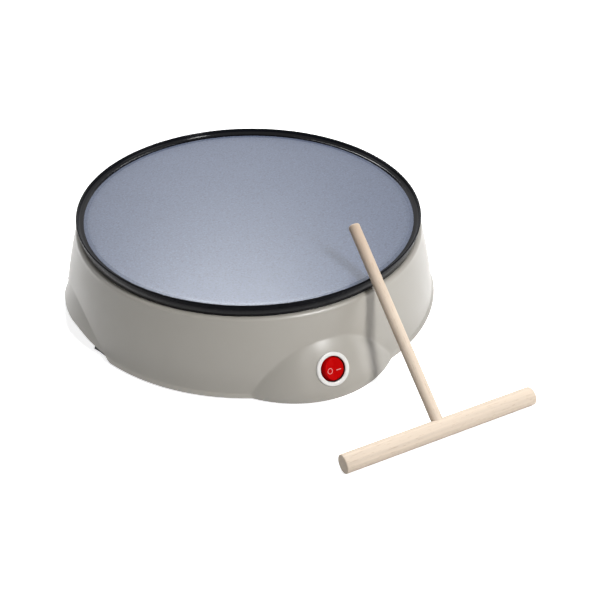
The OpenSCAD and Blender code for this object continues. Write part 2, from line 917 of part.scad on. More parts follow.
module cord_gland() {
    color(BLACK)
        rotate([0, 0, 180])
            at_face(gland_n, gland_z, lug_lean)
                difference() {
                    union() {
                        translate([0, 0, -spot_depth])
                            cylinder(r = gland_flange_r, h = gland_flange_h);
                        translate([0, 0, -gland_tail])
                            cylinder(r = gland_hole_r, h = gland_tail);
                        cylinder(r = gland_sleeve_r, h = gland_sleeve_l);
                        for (i = [0:gland_rings - 1])
                            translate([0, 0, gland_flange_h + 1.5 + 4.2 * i])
                                cylinder(r = gland_sleeve_r + 1, h = 2);
                    }
                    translate([0, 0, -gland_tail - 1])
                        cylinder(r = cord_r, h = gland_tail + gland_sleeve_l + 2);
                }
}

module gland_nut() {
    top = -spot_depth - spot_pad_h;
    color(BLACK)
        rotate([0, 0, 180])
            at_face(gland_n, gland_z, lug_lean)
                difference() {
                    translate([0, 0, top - gland_nut_h])
                        cylinder(r = gland_nut_r, h = gland_nut_h, $fn = 6);
                    translate([0, 0, top - gland_nut_h - 1])
                        cylinder(r = gland_hole_r + fit_gap, h = gland_nut_h + 2);
                }
}

module cord_clamp() {
    color(BLACK)
        difference() {
            translate([-clamp.x / 2, clamp_y - clamp.y / 2, clamp_z])
                cube(clamp);
            translate([0, clamp_y + clamp.y, clamp_z])
                rotate([90, 0, 0])
                    cylinder(r = cord_r - 0.2, h = 2 * clamp.y);
            for (s = [-1, 1])
                translate([s * clamp_screw_x, clamp_y, clamp_z - 1])
                    cylinder(r = small_r + seat_gap, h = clamp.z + 2);
        }
}

module clamp_screws() {
    color(STEEL)
        for (s = [-1, 1])
            translate([s * clamp_screw_x, clamp_y, clamp_z + clamp.z])
                rotate([180, 0, 0])
                    screw(small_r, small_head_r, small_head_h, clamp.z + 7);
}

// ---- Leads ----

module lead_live() {
    color(RED) {
        lead([
            [-pole_pitch, block_y - 3, barrel_z], [-pole_pitch, block_y - 16, barrel_z],
            [-34, 88, 16], [-62, 10, 14], [-48, -80, 14],
            behind_switch(0, terminal_out + socket.z + 4),
            behind_switch(0, terminal_out + socket.z - 1)
        ], lead_r);
        switch_socket(0);
    }
}

module lead_switched() {
    color(BLACK) {
        lead([
            behind_switch(-terminal_x - 1, terminal_out + socket.z - 1),
            behind_switch(-terminal_x - 1, terminal_out + socket.z + 5),
            [-30, -110, 22], [-14, -30, 34],
            [-thermostat_blade_x, 0, thermostat_socket_z - 8],
            [-thermostat_blade_x, 0, thermostat_socket_z + 1]
        ], lead_r);
        switch_socket(-terminal_x - 1);
        thermostat_socket(-1);
    }
}

module lead_element() {
    color(BLACK) {
        lead([
            [thermostat_blade_x, 0, thermostat_socket_z + 1],
            [thermostat_blade_x, 0, thermostat_socket_z - 6],
            [24, 40, 34], [element_ends[0].x, element_ends[0].y, element_low_z - 4],
            [element_ends[0].x, element_ends[0].y, element_low_z]
        ], lead_r);
        thermostat_socket(1);
    }
}

module lead_fuse() {
    color(WHITE)
        lead([
            [element_ends[1].x, element_ends[1].y, element_low_z],
            [element_ends[1].x, element_ends[1].y, element_low_z - 4],
            [-46, 30, 34], [-fuse_bend_x - 6, fuse_y, 40], [-fuse_bend_x, fuse_y, shield_z - 4],
            [-fuse_bend_x, fuse_y, fuse_z], [-fuse_length / 2, fuse_y, fuse_z]
        ], lead_r);
}

module lead_neutral() {
    color("royalblue")
        lead([
            [fuse_length / 2, fuse_y, fuse_z], [fuse_bend_x, fuse_y, fuse_z],
            [fuse_bend_x, fuse_y, shield_z - 4],
            [fuse_bend_x + 14, fuse_y + 12, 30], [40, 60, 18],
            [pole_pitch, block_y - 16, barrel_z], [pole_pitch, block_y - 3, barrel_z]
        ], lead_r);
}

module lead_earth() {
    x = earth_pos.x + tag_reach;
    color("yellowgreen")
        lead([
            [x, earth_pos.y, plate_under_z - 6 - tag_h], [x, earth_pos.y, shield_z - 4],
            [-12, 60, 30], [0, block_y - 16, barrel_z], [0, block_y - 3, barrel_z]
        ], lead_r);
}

element_low_z = cold_end_z - bush_h - element_pin_l;
thermostat_socket_z = thermostat_low_z - thermostat_blade_l - socket.z;

// A push-on connector that ends against a switch blade
module switch_socket(x) {
    at_face(switch_n, switch_z, lug_lean)
        translate([x - socket.x / 2, -socket.y / 2 + 0.5, -switch_depth - terminal_out - socket.z])
            cube([socket.x, socket.y - 1, socket.z]);
}

module thermostat_socket(s) {
    translate([s * thermostat_blade_x - socket.x / 2, -socket.y / 2, thermostat_socket_z])
        cube(socket);
}

// ---- Switch ----

module switch_housing() {
    color(WHITE)
        at_face(switch_n, switch_z, lug_lean)
            difference() {
                rotate_extrude()
                    polygon(concat(
                        [[0, -switch_depth], [housing_r, -switch_depth], [housing_r, -spot_depth],
                         [bezel_r, -spot_depth]],
                        arc([bezel_r - bezel_edge, bezel_proud - bezel_edge], bezel_edge, 0, 90, 4),
                        [[rocker_bore_r + 1, bezel_proud], [rocker_bore_r, bezel_proud - 1],
                         [rocker_bore_r, housing_floor - switch_depth], [0, housing_floor - switch_depth]]
                    ));
                translate([0, housing_r + 1, pivot_z])
                    rotate([90, 0, 0])
                        cylinder(r = rocker_pin_r + fit_gap, h = 2 * housing_r + 2);
                for (x = [0, -terminal_x - 1])
                    translate([x - blade_t / 2 - fit_gap, -terminal_w / 2 - fit_gap, -switch_depth - 1])
                        cube([blade_t + 2 * fit_gap, terminal_w + 2 * fit_gap, housing_floor + 2]);
            }
}

module switch_terminals() {
    floor_z = housing_floor - switch_depth;
    cradle_top = lever_z + 0.2;
    contact_top = lever_z - lever_t / 2 - lever_half * sin(half_travel * lever_ratio) - seat_gap;
    color(BRASS)
        at_face(switch_n, switch_z, lug_lean) {
            translate([-blade_t / 2, -terminal_w / 2, -switch_depth - terminal_out])
                cube([blade_t, terminal_w, terminal_out + housing_floor + cradle_t]);
            translate([-cradle_l / 2, -cradle_half, floor_z])
                cube([cradle_l, 2 * cradle_half, cradle_t]);
            for (s = [-1, 1])
                difference() {
                    translate([-cradle_l / 2, s > 0 ? cradle_half - cradle_wall : -cradle_half, floor_z])
                        cube([cradle_l, cradle_wall, cradle_top - floor_z]);
                    translate([0, cradle_half + 1, lever_z])
                        rotate([90, 0, 0])
                            cylinder(r = lever_pin_r + fit_gap, h = 2 * cradle_half + 2);
                }
            translate([-terminal_x - 1 - blade_t / 2, -terminal_w / 2, -switch_depth - terminal_out])
                cube([blade_t, terminal_w, terminal_out + housing_floor]);
            translate([-terminal_x, 0, floor_z])
                cylinder(r = contact_r, h = contact_top - floor_z);
        }
}

module contact_lever() {
    color(BRASS)
        at_face(switch_n, switch_z, lug_lean)
            translate([0, 0, lever_z])
                rotate([0, -half_travel * lever_ratio, 0]) {
                    translate([-lever_half, -lever_w / 2, -lever_t / 2])
                        cube([2 * lever_half, lever_w, lever_t]);
                    translate([0, cradle_half, 0])
                        rotate([90, 0, 0])
                            cylinder(r = lever_pin_r, h = 2 * cradle_half);
                }
}

// Places children on the rocker as it lies tipped towards its dash mark
module on_rocker() {
    at_face(switch_n, switch_z, lug_lean)
        translate([0, 0, pivot_z])
            rotate([0, half_travel, 0])
                children();
}

// One half of the rocker's shallow V-shaped top, as the space above it
module rocker_top(s, drop) {
    translate([0, 0, rocker_centre_h - drop])
        rotate([0, -s * half_travel, 0])
            translate([s > 0 ? 0 : -FAR / 2, -FAR / 4, 0])
                cube([FAR / 2, FAR / 2, FAR / 2]);
}

module rocker_solid(drop) {
    difference() {
        sphere(r = rocker_r);
        rocker_top(1, drop);
        rocker_top(-1, drop);
        translate([-FAR / 2, -FAR / 2, -rocker_base - FAR])
            cube([FAR, FAR, FAR]);
    }
}

module mark_prisms() {
    translate([-mark_x, -mark_drop, 0])
        tube(mark_outer_r, mark_outer_r - mark_line, 0, rocker_r);
    translate([mark_x - dash_length / 2, -mark_drop - mark_line / 2, 0])
        cube([dash_length, mark_line, rocker_r]);
}

module switch_rocker() {
    color(RED)
        on_rocker()
            difference() {
                union() {
                    rocker_solid(0);
                    translate([0, housing_r - 0.3, 0])
                        rotate([90, 0, 0])
                            cylinder(r = rocker_pin_r, h = 2 * housing_r - 0.6);
                }
                intersection() {
                    mark_prisms();
                    difference() {
                        cylinder(r = rocker_r, h = rocker_r);
                        intersection() {
                            rocker_solid(mark_depth);
                            cylinder(r = rocker_r, h = rocker_r);
                        }
                    }
                }
                translate([0, 0, -rocker_base - 1])
                    cylinder(r = plunger_r + fit_gap, h = 4);
            }
}

module rocker_marks() {
    color(WHITE)
        on_rocker()
            intersection() {
                mark_prisms();
                difference() {
                    rocker_solid(0);
                    rocker_solid(mark_depth);
                }
            }
}

module rocker_plunger() {
    color(STEEL)
        on_rocker() {
            translate([0, 0, -plunger_reach + plunger_r])
                cylinder(r = plunger_r, h = plunger_reach - plunger_r - rocker_base + 2.5);
            translate([0, 0, -plunger_reach + plunger_r])
                sphere(r = plunger_r);
        }
}

// ---- Spreader ----

module on_handle() {
    translate([bar_x, bar_y, bar_r])
        rotate([0, 0, handle_dir])
            rotate([0, 90 - handle_lean, 0])
                children();
}

module spreader_bar() {
    half = bar_length / 2;
    color(BEECH)
        difference() {
            translate([bar_x, bar_y, bar_r])
                rotate([0, 90, spreader_turn])
                    rotate_extrude()
                        polygon([
                            [0, -half], [bar_r - bar_edge, -half], [bar_r, -half + bar_edge],
                            [bar_r, half - bar_edge], [bar_r - bar_edge, half], [0, half]
                        ]);
            on_handle()
                cylinder(r = handle_r + fit_gap, h = bar_d);
        }
}

module spreader_handle() {
    color(BEECH)
        on_handle()
            rotate_extrude()
                polygon(concat(
                    [[0, fit_gap], [handle_r, fit_gap]],
                    arc([handle_r - handle_tip, handle_length - handle_tip], handle_tip, 0, 90, 4),
                    [[0, handle_length]]
                ));
}

hot_plate();
plate_seal();
body_shell();
base_cover();
heating_element();
element_bushes();
element_clamps();
heat_shield();
shield_standoffs();
plate_screws();
heater_screws();
shell_screws();
thermostat();
thermostat_bracket();
thermal_fuse();
fuse_clip();
earth_tag();
terminal_block();
terminal_barrels();
block_screw();
cord_gland();
gland_nut();
cord_clamp();
clamp_screws();
lead_live();
lead_switched();
lead_element();
lead_fuse();
lead_neutral();
lead_earth();
switch_housing();
switch_terminals();
contact_lever();
switch_rocker();
rocker_marks();
rocker_plunger();
foot_front_left();
foot_front_right();
foot_rear_left();
foot_rear_right();
spreader_bar();
spreader_handle();
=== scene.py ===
import math

import bmesh
import bpy
import numpy as np
from mathutils import Matrix, Vector


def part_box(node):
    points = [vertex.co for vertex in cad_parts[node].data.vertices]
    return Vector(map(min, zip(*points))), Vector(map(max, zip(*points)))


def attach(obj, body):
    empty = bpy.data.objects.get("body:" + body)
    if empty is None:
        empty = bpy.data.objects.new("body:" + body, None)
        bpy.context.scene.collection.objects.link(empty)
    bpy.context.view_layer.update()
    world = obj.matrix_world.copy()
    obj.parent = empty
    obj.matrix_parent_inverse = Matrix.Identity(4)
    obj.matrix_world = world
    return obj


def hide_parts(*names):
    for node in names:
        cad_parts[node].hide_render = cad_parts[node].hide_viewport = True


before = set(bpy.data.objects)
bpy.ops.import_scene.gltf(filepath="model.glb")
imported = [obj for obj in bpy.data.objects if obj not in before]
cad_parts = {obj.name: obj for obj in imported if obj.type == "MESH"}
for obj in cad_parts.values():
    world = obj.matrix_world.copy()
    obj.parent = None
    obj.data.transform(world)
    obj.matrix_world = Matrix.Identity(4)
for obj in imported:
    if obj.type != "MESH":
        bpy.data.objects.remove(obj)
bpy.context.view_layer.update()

bl_info = {
    "name": "Electric crepe maker",
    "version": (1, 0, 0),
    "blender": (4, 5, 0),
    "location": "3D View > Sidebar > Crepe maker",
    "description": "Builds a countertop crepe maker with its rocker switch and wooden spreader",
    "category": "Add Mesh",
}

MM = 0.001

# Plate: circles on which its bosses stand
SCREW_CIRCLE = 110 * MM
CLAMP_CIRCLE = 79 * MM
SKIRT_WIDTH = 2 * MM
# The satin of the cooking surface turns glossy between these radii
POLISH_FROM, POLISH_TO = 137 * MM, 145.5 * MM
# The lip's inside ends and its crest starts between these radii
CREST_FROM, CREST_TO = 148.6 * MM, 149.4 * MM

# Body: points in each ring, the rows that creases follow up to a height, and the shoulder
BODY_SIDES = 560
CREASE_TOP = 48 * MM
CREASE_ROWS, SHOULDER_ROWS = 43, 6
SHOULDER_RADIUS = 3.3 * MM
# Creases are looked for below the first height, and lugs are drawn out below the second
CREASE_LIMIT, LUG_LIMIT = 62 * MM, 63 * MM
# Half width of the quiet zone round the switch, and width of the blend beside it
SWITCH_ZONE, ZONE_BLEND = 14 * MM, 16 * MM
# A lug of this half height swells by its full belly
FULL_HALF_HEIGHT = 21 * MM
# Screw posts inside the wall
POST_RADIUS, POST_CIRCLE = 4.5 * MM, 150.4 * MM
POST_ANGLES = (25, 65, 115, 155, 205, 245, 295, 335)

# Rocker: its reach above and below the pivot, depth of the pivot, steepness of its V
ROCKER_HEIGHT = 4.4 * MM
PIVOT_DEPTH = 3 * MM
ROCKER_SLOPE = math.tan(math.radians(9))


def paint(*levels):
    """A colour given as it looks on screen, 0 to 255, as the shader wants it."""
    parts = [level / 255 for level in levels]
    return tuple(c / 12.92 if c <= 0.04045 else ((c + 0.055) / 1.055) ** 2.4 for c in parts)


# ---- Sizes and colours ----

def length(name, description, mm):
    return bpy.props.FloatProperty(
        name=name, description=description, default=mm * MM, unit="LENGTH", precision=4)


def tint(name, description, r, g, b):
    return bpy.props.FloatVectorProperty(
        name=name, description=description, subtype="COLOR", size=3, min=0, max=1, default=paint(r, g, b))


def swing(name, description, degrees):
    return bpy.props.FloatProperty(
        name=name, description=description, default=math.radians(degrees), subtype="ANGLE")


class PlateSizes(bpy.types.PropertyGroup):
    lip_radius: length("Lip radius", "Outer radius of the lip", 150)
    foot_radius: length("Foot radius", "Outer radius of the plate where it meets the body", 148)
    wall_height: length("Wall foot", "Height of the plate's lower edge", 68.3)
    under_height: length("Underside", "Height of the plate's underside", 69)
    surface_height: length("Cooking surface", "Height of the cooking surface", 74.5)
    lip_height: length("Lip top", "Height of the lip's top", 79.7)
    lip_width: length("Lip width", "Width of the lip across its top", 1.6)
    lip_fillet: length("Lip fillet", "Radius between the cooking surface and the lip", 2.9)


class BodySizes(bpy.types.PropertyGroup):
    skirt_height: length("Skirt", "Height of the lower edge", 2)
    wall_foot: length("Wall foot", "Height where the wall starts above the foot band", 5.2)
    shoulder_height: length("Shoulder", "Height of the shoulder's centre", 64.7)
    foot_radius: length("Foot radius", "Radius of the wall at its foot", 165.2)
    band_radius: length("Foot band radius", "Radius of the foot band", 167.3)
    flare: length("Flare", "How far the wall spreads towards its foot", 13.4)
    swell: length("Swell", "How far the wall swells outside a straight cone", 1)
    wall: length("Wall", "Thickness of the moulded wall", 2.6)
    lug_radius: length("Lug radius", "Radius of the front and rear lugs", 95.5)
    lug_front: length("Lug front", "Distance of the front lug's foot from the middle", 181.7)
    grip_radius: length("Grip radius", "Radius of the side lugs", 115)
    grip_front: length("Grip front", "Distance of a side lug's foot from the middle", 172.9)
    arch_width: length("Arch width", "Width of the arch that raises a side lug's edge", 140)
    arch_level: length("Arch level", "Width of the arch's level part", 40)
    arch_height: length("Arch height", "Height of the arch above the counter", 12)
    belly: length("Belly", "How far the lugs' faces swell at the switch", 1.8)
    side_belly: length("Side belly", "How far the front and rear lugs swell beside the switch", 3.2)
    grip_belly: length("Grip belly", "How far the side lugs' faces swell", 0.4)
    crease_shade: length("Crease", "Softness of the crease where a lug leaves the wall", 0.4)
    crease_lit: length("Far crease", "Softness of the crease on the front lug's right", 1.6)
    lug_lean: swing("Lug lean", "Lean of the front and rear lugs", 30)
    grip_lean: swing("Grip lean", "Lean of the side lugs", 24)


class SwitchSizes(bpy.types.PropertyGroup):
    reach: length("Reach", "Distance of the switch's centre from the middle", 169.749)
    height: length("Height", "Height of the switch's centre", 22.7)
    bezel_radius: length("Bezel radius", "Outer radius of the bezel", 14)
    bezel_rise: length("Bezel rise", "How far the bezel stands out of its seat", 2.2)
    opening_radius: length("Opening radius", "Radius of the opening for the rocker", 10.4)
    rocker_radius: length("Rocker radius", "Radius of the rocker", 10.05)
    rocker_turn: swing("Rocker turn", "How far the rocker is tipped", 9)


class GlandSizes(bpy.types.PropertyGroup):
    reach: length("Reach", "Distance of the gland's centre from the middle", 168.998)
    height: length("Height", "Height of the gland's centre", 24)
    bore: length("Bore", "Radius of the bore for the cord", 3.6)


class SpreaderSizes(bpy.types.PropertyGroup):
    bar_radius: length("Bar radius", "Radius of the spreader's bar", 7.5)
    bar_length: length("Bar length", "Length of the spreader's bar", 170)
    grip_radius: length("Handle radius", "Radius of the spreader's handle", 4.7)
    grip_length: length("Handle length", "Length of the handle from the bar's middle", 175)


class Colours(bpy.types.PropertyGroup):
    coating: tint("Coating", "Stone-flecked coating of the cooking surface", 80, 88, 107)
    rim: tint("Rim", "Black coating of the lip and outer wall", 9, 10, 15)
    body: tint("Body", "Moulded body", 165, 161, 153)
    bezel: tint("Bezel", "Switch bezel", 230, 229, 226)
    rocker: tint("Rocker", "Switch rocker", 188, 1, 2)
    mark: tint("Marks", "Marks on the rocker", 228, 176, 176)
    wood: tint("Wood", "Beech of the spreader", 226, 209, 190)
    black: tint("Black parts", "Base cover, feet, gland and seal", 34, 34, 36)


GROUPS = {
    "crepe_plate": PlateSizes,
    "crepe_body": BodySizes,
    "crepe_switch": SwitchSizes,
    "crepe_gland": GlandSizes,
    "crepe_spreader": SpreaderSizes,
    "crepe_colours": Colours,
}


# ---- Modelling helpers ----

def deselect():
    if bpy.context.mode != "OBJECT":
        bpy.ops.object.mode_set(mode="OBJECT")
    bpy.ops.object.select_all(action="DESELECT")


def pick(*pieces):
    deselect()
    for p in pieces:
        p.select_set(True)
    bpy.context.view_layer.objects.active = pieces[0]


def named(name, scale=(1, 1, 1)):
    """Takes the primitive that was just added, with its size and place in its mesh."""
    piece = bpy.context.active_object
    piece.name = piece.data.name = name
    piece.scale = scale
    bpy.ops.object.transform_apply(location=True, rotation=True, scale=True)
    return piece


def placed(piece, place):
    pick(piece)
    piece.matrix_world = place
    bpy.ops.object.transform_apply(location=True, rotation=True, scale=True)


def closed_pole(z):
    """Draws the selected ring in to a point on the axis."""
    bpy.ops.mesh.extrude_region_move(TRANSFORM_OT_translate={"value": (0, 0, 0)})
    bpy.ops.transform.resize(value=(0, 0, 1), center_override=(0, 0, z))
    bpy.ops.mesh.merge(type="CENTER")


def turned(name, profile, sides=128, loop=False):
    """A round piece about the upright axis, drawn up ring by ring from its profile."""
    deselect()
    start_pole, end_pole = profile[0][0] == 0, profile[-1][0] == 0
    rings = [p for p in profile if p[0] > 0]
    r, z = rings[0]
    bpy.ops.mesh.primitive_circle_add(vertices=sides, radius=r, location=(0, 0, z))
    piece = named(name)
    bpy.ops.object.mode_set(mode="EDIT")
    bpy.ops.mesh.select_all(action="SELECT")
    for r1, z1 in rings[1:] + ([rings[0]] if loop else []):
        bpy.ops.mesh.extrude_region_move(TRANSFORM_OT_translate={"value": (0, 0, z1 - z)})
        if abs(r1 - r) > 1e-9:
            bpy.ops.transform.resize(value=(r1 / r, r1 / r, 1), center_override=(0, 0, z1))
        r, z = r1, z1
    if end_pole:
        closed_pole(z)
    if start_pole:
        bm = bmesh.from_edit_mesh(piece.data)
        bm.verts.ensure_lookup_table()
        bm.select_mode = {"VERT"}
        for v in bm.verts:
            v.select = v.index < sides
        bm.select_flush_mode()
        bmesh.update_edit_mesh(piece.data)
        closed_pole(rings[0][1])
    bpy.ops.mesh.select_all(action="SELECT")
    bpy.ops.mesh.remove_doubles(threshold=1e-7)
    bpy.ops.mesh.normals_make_consistent(inside=False)
    bpy.ops.object.mode_set(mode="OBJECT")
    return piece


def modified(piece, kind, **settings):
    """Adds one modifier and applies it."""
    pick(piece)
    bpy.ops.object.modifier_add(type=kind)
    modifier = piece.modifiers[-1]
    for key, value in settings.items():
        setattr(modifier, key, value)
    bpy.ops.object.modifier_apply(modifier=modifier.name)


def cut(piece, tool):
    """Cuts one shape out of a piece and throws the shape away."""
    modified(piece, "BOOLEAN", operation="DIFFERENCE", object=tool, solver="EXACT")
    pick(tool)
    bpy.ops.object.delete()


def column(radius, z0, z1, at=(0, 0), sides=48):
    """A plain column, to cut with or to join on."""
    deselect()
    bpy.ops.mesh.primitive_cylinder_add(
        vertices=sides, radius=radius, depth=z1 - z0, location=(at[0], at[1], (z0 + z1) / 2))
    return named("column")


def joined(piece, others):
    pick(piece, *others)
    bpy.ops.object.join()
    return piece


def smooth(piece, angle=30):
    pick(piece)
    bpy.ops.object.shade_smooth_by_angle(angle=math.radians(angle))


def arc(r, z, radius, a, b, steps):
    """Profile points on an arc about (r, z), from angle a to angle b."""
    out = []
    for i in range(steps + 1):
        t = math.radians(a + (b - a) * i / steps)
        out.append((r + radius * math.cos(t), z + radius * math.sin(t)))
    return out


def on_circle(radius, degrees):
    a = math.radians(degrees)
    return radius * math.cos(a), radius * math.sin(a)


def points_of(piece):
    co = np.empty(len(piece.data.vertices) * 3)
    piece.data.vertices.foreach_get("co", co)
    return co.reshape(-1, 3)


def move_points(piece, co):
    piece.data.vertices.foreach_set("co", co.ravel())
    piece.data.update()


def face_place(reach, height, lean, turn=0):
    """The frame of a lug's face: +Y up the slope, +Z outwards."""
    return (Matrix.Rotation(turn, 4, "Z") @ Matrix.Translation((0, -reach, height))
            @ Matrix.Rotation(math.pi / 2 - lean, 4, "X"))


def settle(piece, body, slot, *nodes, finishes=()):
    """Gives a finished piece its finishes, its body and the nodes that it stands for."""
    for f in finishes:
        piece.data.materials.append(f)
    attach(piece, body)
    if nodes:
        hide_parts(*nodes)


# ---- Finishes ----

class Tree:
    """The node tree of a material or of the room, under construction."""

    def __init__(self, owner):
        owner.use_nodes = True
        self.nodes = owner.node_tree.nodes
        self.links = owner.node_tree.links
        self.nodes.clear()

    def add(self, kind, **settings):
        node = self.nodes.new(kind)
        for key, value in settings.items():
            setattr(node, key, value)
        return node

    def feed(self, socket, value):
        if isinstance(value, bpy.types.NodeSocket):
            self.links.new(value, socket)
        elif hasattr(socket.default_value, "__len__") and len(socket.default_value) == 4 and len(value) == 3:
            socket.default_value = (*value, 1)
        else:
            socket.default_value = value

    def span(self, value, low, high, to_low=0.0, to_high=1.0):
        """Maps low..high to to_low..to_high, held at the ends."""
        node = self.add("ShaderNodeMapRange")
        for i, v in enumerate((value, low, high, to_low, to_high)):
            self.feed(node.inputs[i], v)
        return node.outputs[0]

    def sum(self, a, b, operation="ADD"):
        node = self.add("ShaderNodeMath", operation=operation)
        self.feed(node.inputs[0], a)
        self.feed(node.inputs[1], b)
        return node.outputs[0]

    def direct_rays(self):
        """1 for what the camera sees, also in a reflection or through a clear thing, and 0 for the rest."""
        path = self.add("ShaderNodeLightPath").outputs
        glossy_or_clear = self.sum(path["Is Glossy Ray"], path["Is Transmission Ray"], "MAXIMUM")
        return self.sum(path["Is Camera Ray"], glossy_or_clear, "MAXIMUM")

    def show(self, output, indirect, direct):
        """Ends the tree: one shader lights the scene, the other is what the camera sees."""
        mix = self.add("ShaderNodeMixShader")
        for socket, value in zip(mix.inputs, (self.direct_rays(), indirect, direct)):
            self.links.new(value, socket)
        self.links.new(mix.outputs[0], self.add(output).inputs["Surface"])


class Finish(Tree):
    """A material under construction, read in object coordinates."""

    def __init__(self, name):
        self.material = bpy.data.materials.new(name)
        super().__init__(self.material)
        self.shader = self.add("ShaderNodeBsdfPrincipled")
        self.links.new(self.shader.outputs[0], self.add("ShaderNodeOutputMaterial").inputs["Surface"])
        self.place = self.add("ShaderNodeTexCoord").outputs["Object"]

    def set(self, **sockets):
        for key, value in sockets.items():
            self.feed(self.shader.inputs[key.replace("_", " ")], value)

    def mapped(self, scale=(1, 1, 1), turn=(0, 0, 0), shift=(0, 0, 0), source=None):
        node = self.add("ShaderNodeMapping")
        self.feed(node.inputs["Vector"], source or self.place)
        node.inputs["Scale"].default_value = scale
        node.inputs["Rotation"].default_value = turn
        node.inputs["Location"].default_value = shift
        return node.outputs[0]

    def noise(self, scale, detail=3, rough=0.5, source=None):
        node = self.add("ShaderNodeTexNoise")
        self.feed(node.inputs["Vector"], source or self.place)
        node.inputs["Scale"].default_value = scale
        node.inputs["Detail"].default_value = detail
        node.inputs["Roughness"].default_value = rough
        return node.outputs[0]

    def cells(self, scale):
        node = self.add("ShaderNodeTexVoronoi")
        self.feed(node.inputs["Vector"], self.place)
        node.inputs["Scale"].default_value = scale
        return node.outputs[0]

    def blend(self, factor, a, b):
        node = self.add("ShaderNodeMix", data_type="RGBA")
        self.feed(node.inputs["Factor"], factor)
        self.feed(node.inputs[6], a)
        self.feed(node.inputs[7], b)
        return node.outputs[2]

    def split(self, source=None):
        node = self.add("ShaderNodeSeparateXYZ")
        self.feed(node.inputs[0], source or self.place)
        return node.outputs

    def radius(self, source=None):
        """Distance from the piece's own upright axis."""
        x, y, _ = self.split(source)
        squares = self.sum(self.sum(x, x, "MULTIPLY"), self.sum(y, y, "MULTIPLY"))
        return self.sum(squares, 0.5, "POWER")

    def bump(self, height, depth_mm):
        node = self.add("ShaderNodeBump")
        node.inputs["Strength"].default_value = 1
        node.inputs["Distance"].default_value = depth_mm * MM
        self.feed(node.inputs["Height"], height)
        return node.outputs[0]


def shade(colour, k):
    return tuple(min(1.0, c * k) for c in colour)


made = {}


def finish(name):
    """One of the finishes, made on first use."""
    if name not in made:
        made[name] = FINISHES[name](name)
    return made[name]


def own_colour(key):
    return tuple(getattr(bpy.context.scene.crepe_colours, key))


def moulded(name, key, rough, depth, vary=0.05, gloss=0.5):
    """Injection-moulded plastic: an even skin with a fine spark texture, faint flow and light scuffs."""
    f = Finish(name)
    colour = own_colour(key)
    flow = f.noise(14, 4)
    grain = f.noise(2600, 2)
    patches = f.noise(60, 5, 0.6)
    colour_out = f.blend(flow, shade(colour, 1 - vary), shade(colour, 1 + vary))
    scuff = f.span(f.noise(260, 6, 0.7, f.mapped((1, 1, 0.25))), 0.66, 0.82, 0, 0.12)
    f.set(Base_Color=f.blend(scuff, colour_out, shade(colour, 1.08)),
          Roughness=f.span(patches, 0.1, 0.9, rough - 0.05, rough + 0.06),
          Specular_IOR_Level=gloss, Normal=f.bump(f.sum(grain, patches), depth))
    return f.material


def body_skin(name):
    return moulded(name, "body", 0.32, depth=0.006, vary=0.02, gloss=0.65)


def black_plastic(name):
    return moulded(name, "black", 0.55, depth=0.03)


def bezel_skin(name):
    return moulded(name, "bezel", 0.22, depth=0.004, vary=0.02)


def rocker_skin(name):
    return moulded(name, "rocker", 0.3, depth=0.004, vary=0.06, gloss=0.03)


def mark_print(name):
    f = Finish(name)
    c = own_colour("mark")
    patch = f.noise(900, 3)
    f.set(Base_Color=f.blend(patch, shade(c, 0.92), shade(c, 1.05)),
          Roughness=f.span(patch, 0.3, 0.7, 0.3, 0.42), Normal=f.bump(patch, 0.01))
    return f.material


def plate_coating(name):
    """Satin non-stick coating with fine pale and dark flecks and a soft orange-peel surface."""
    f = Finish(name)
    c = own_colour("coating")
    wash = f.noise(9, 3)
    base = f.blend(wash, shade(c, 0.94), shade(c, 1.06))
    fleck = f.noise(560, 4, 0.7)
    dark = f.span(fleck, 0.36, 0.50, 0.7, 0)
    pale = f.span(f.noise(620, 4, 0.7), 0.52, 0.66, 0, 0.75)
    satin = f.span(f.noise(30, 4), 0.2, 0.8, 0.34, 0.38)
    base = f.blend(dark, base, shade(c, 0.55))
    base = f.blend(pale, base, shade(c, 1.45))
    peel = f.noise(700, 3)
    f.set(Base_Color=base, Specular_IOR_Level=0.42, Specular_Tint=(0.87, 0.92, 1.0, 1),
          Roughness=f.span(f.radius(), POLISH_FROM, POLISH_TO, satin, 0.14),
          Normal=f.bump(f.sum(peel, fleck), 0.06))
    return f.material


def rim_coating(name):
    """Black coating, glossy inside the lip and duller from its crest outwards."""
    f = Finish(name)
    c = own_colour("rim")
    grain = f.noise(900, 3)
    wear = f.span(f.noise(120, 5, 0.7), 0.62, 0.74, 0, 0.4)
    outside = f.span(f.noise(80, 4), 0.3, 0.7, 0.22, 0.30)
    f.set(Base_Color=f.blend(wear, f.blend(grain, shade(c, 0.8), shade(c, 1.25)), shade(c, 2.2)),
          Specular_IOR_Level=f.span(f.radius(), CREST_FROM, CREST_TO, 0.17, 0.03),
          Roughness=f.span(f.radius(), CREST_FROM, CREST_TO, 0.12, outside),
          Normal=f.bump(grain, 0.004))
    return f.material


def metal(name, colour, rough, brushed=(1, 1, 1), depth=0.01):
    """Bare or plated metal with fine drawn lines and dull patches."""
    f = Finish(name)
    lines = f.noise(700, 3, 0.6, f.mapped(brushed))
    patch = f.noise(70, 4)
    f.set(Base_Color=f.blend(patch, shade(colour, 0.86), shade(colour, 1.06)), Metallic=1.0,
          Roughness=f.span(f.sum(lines, patch), 0.7, 1.3, rough - 0.08, rough + 0.1),
          Normal=f.bump(lines, depth))
    return f.material


def cast_metal(name):
    """Sand-cast aluminium as it leaves the mould."""
    f = Finish(name)
    grit = f.noise(900, 5, 0.65)
    patch = f.noise(40, 3)
    f.set(Base_Color=f.blend(patch, (0.52, 0.53, 0.54), (0.66, 0.67, 0.68)), Metallic=1.0,
          Roughness=f.span(grit, 0.3, 0.7, 0.45, 0.65), Normal=f.bump(grit, 0.12))
    return f.material


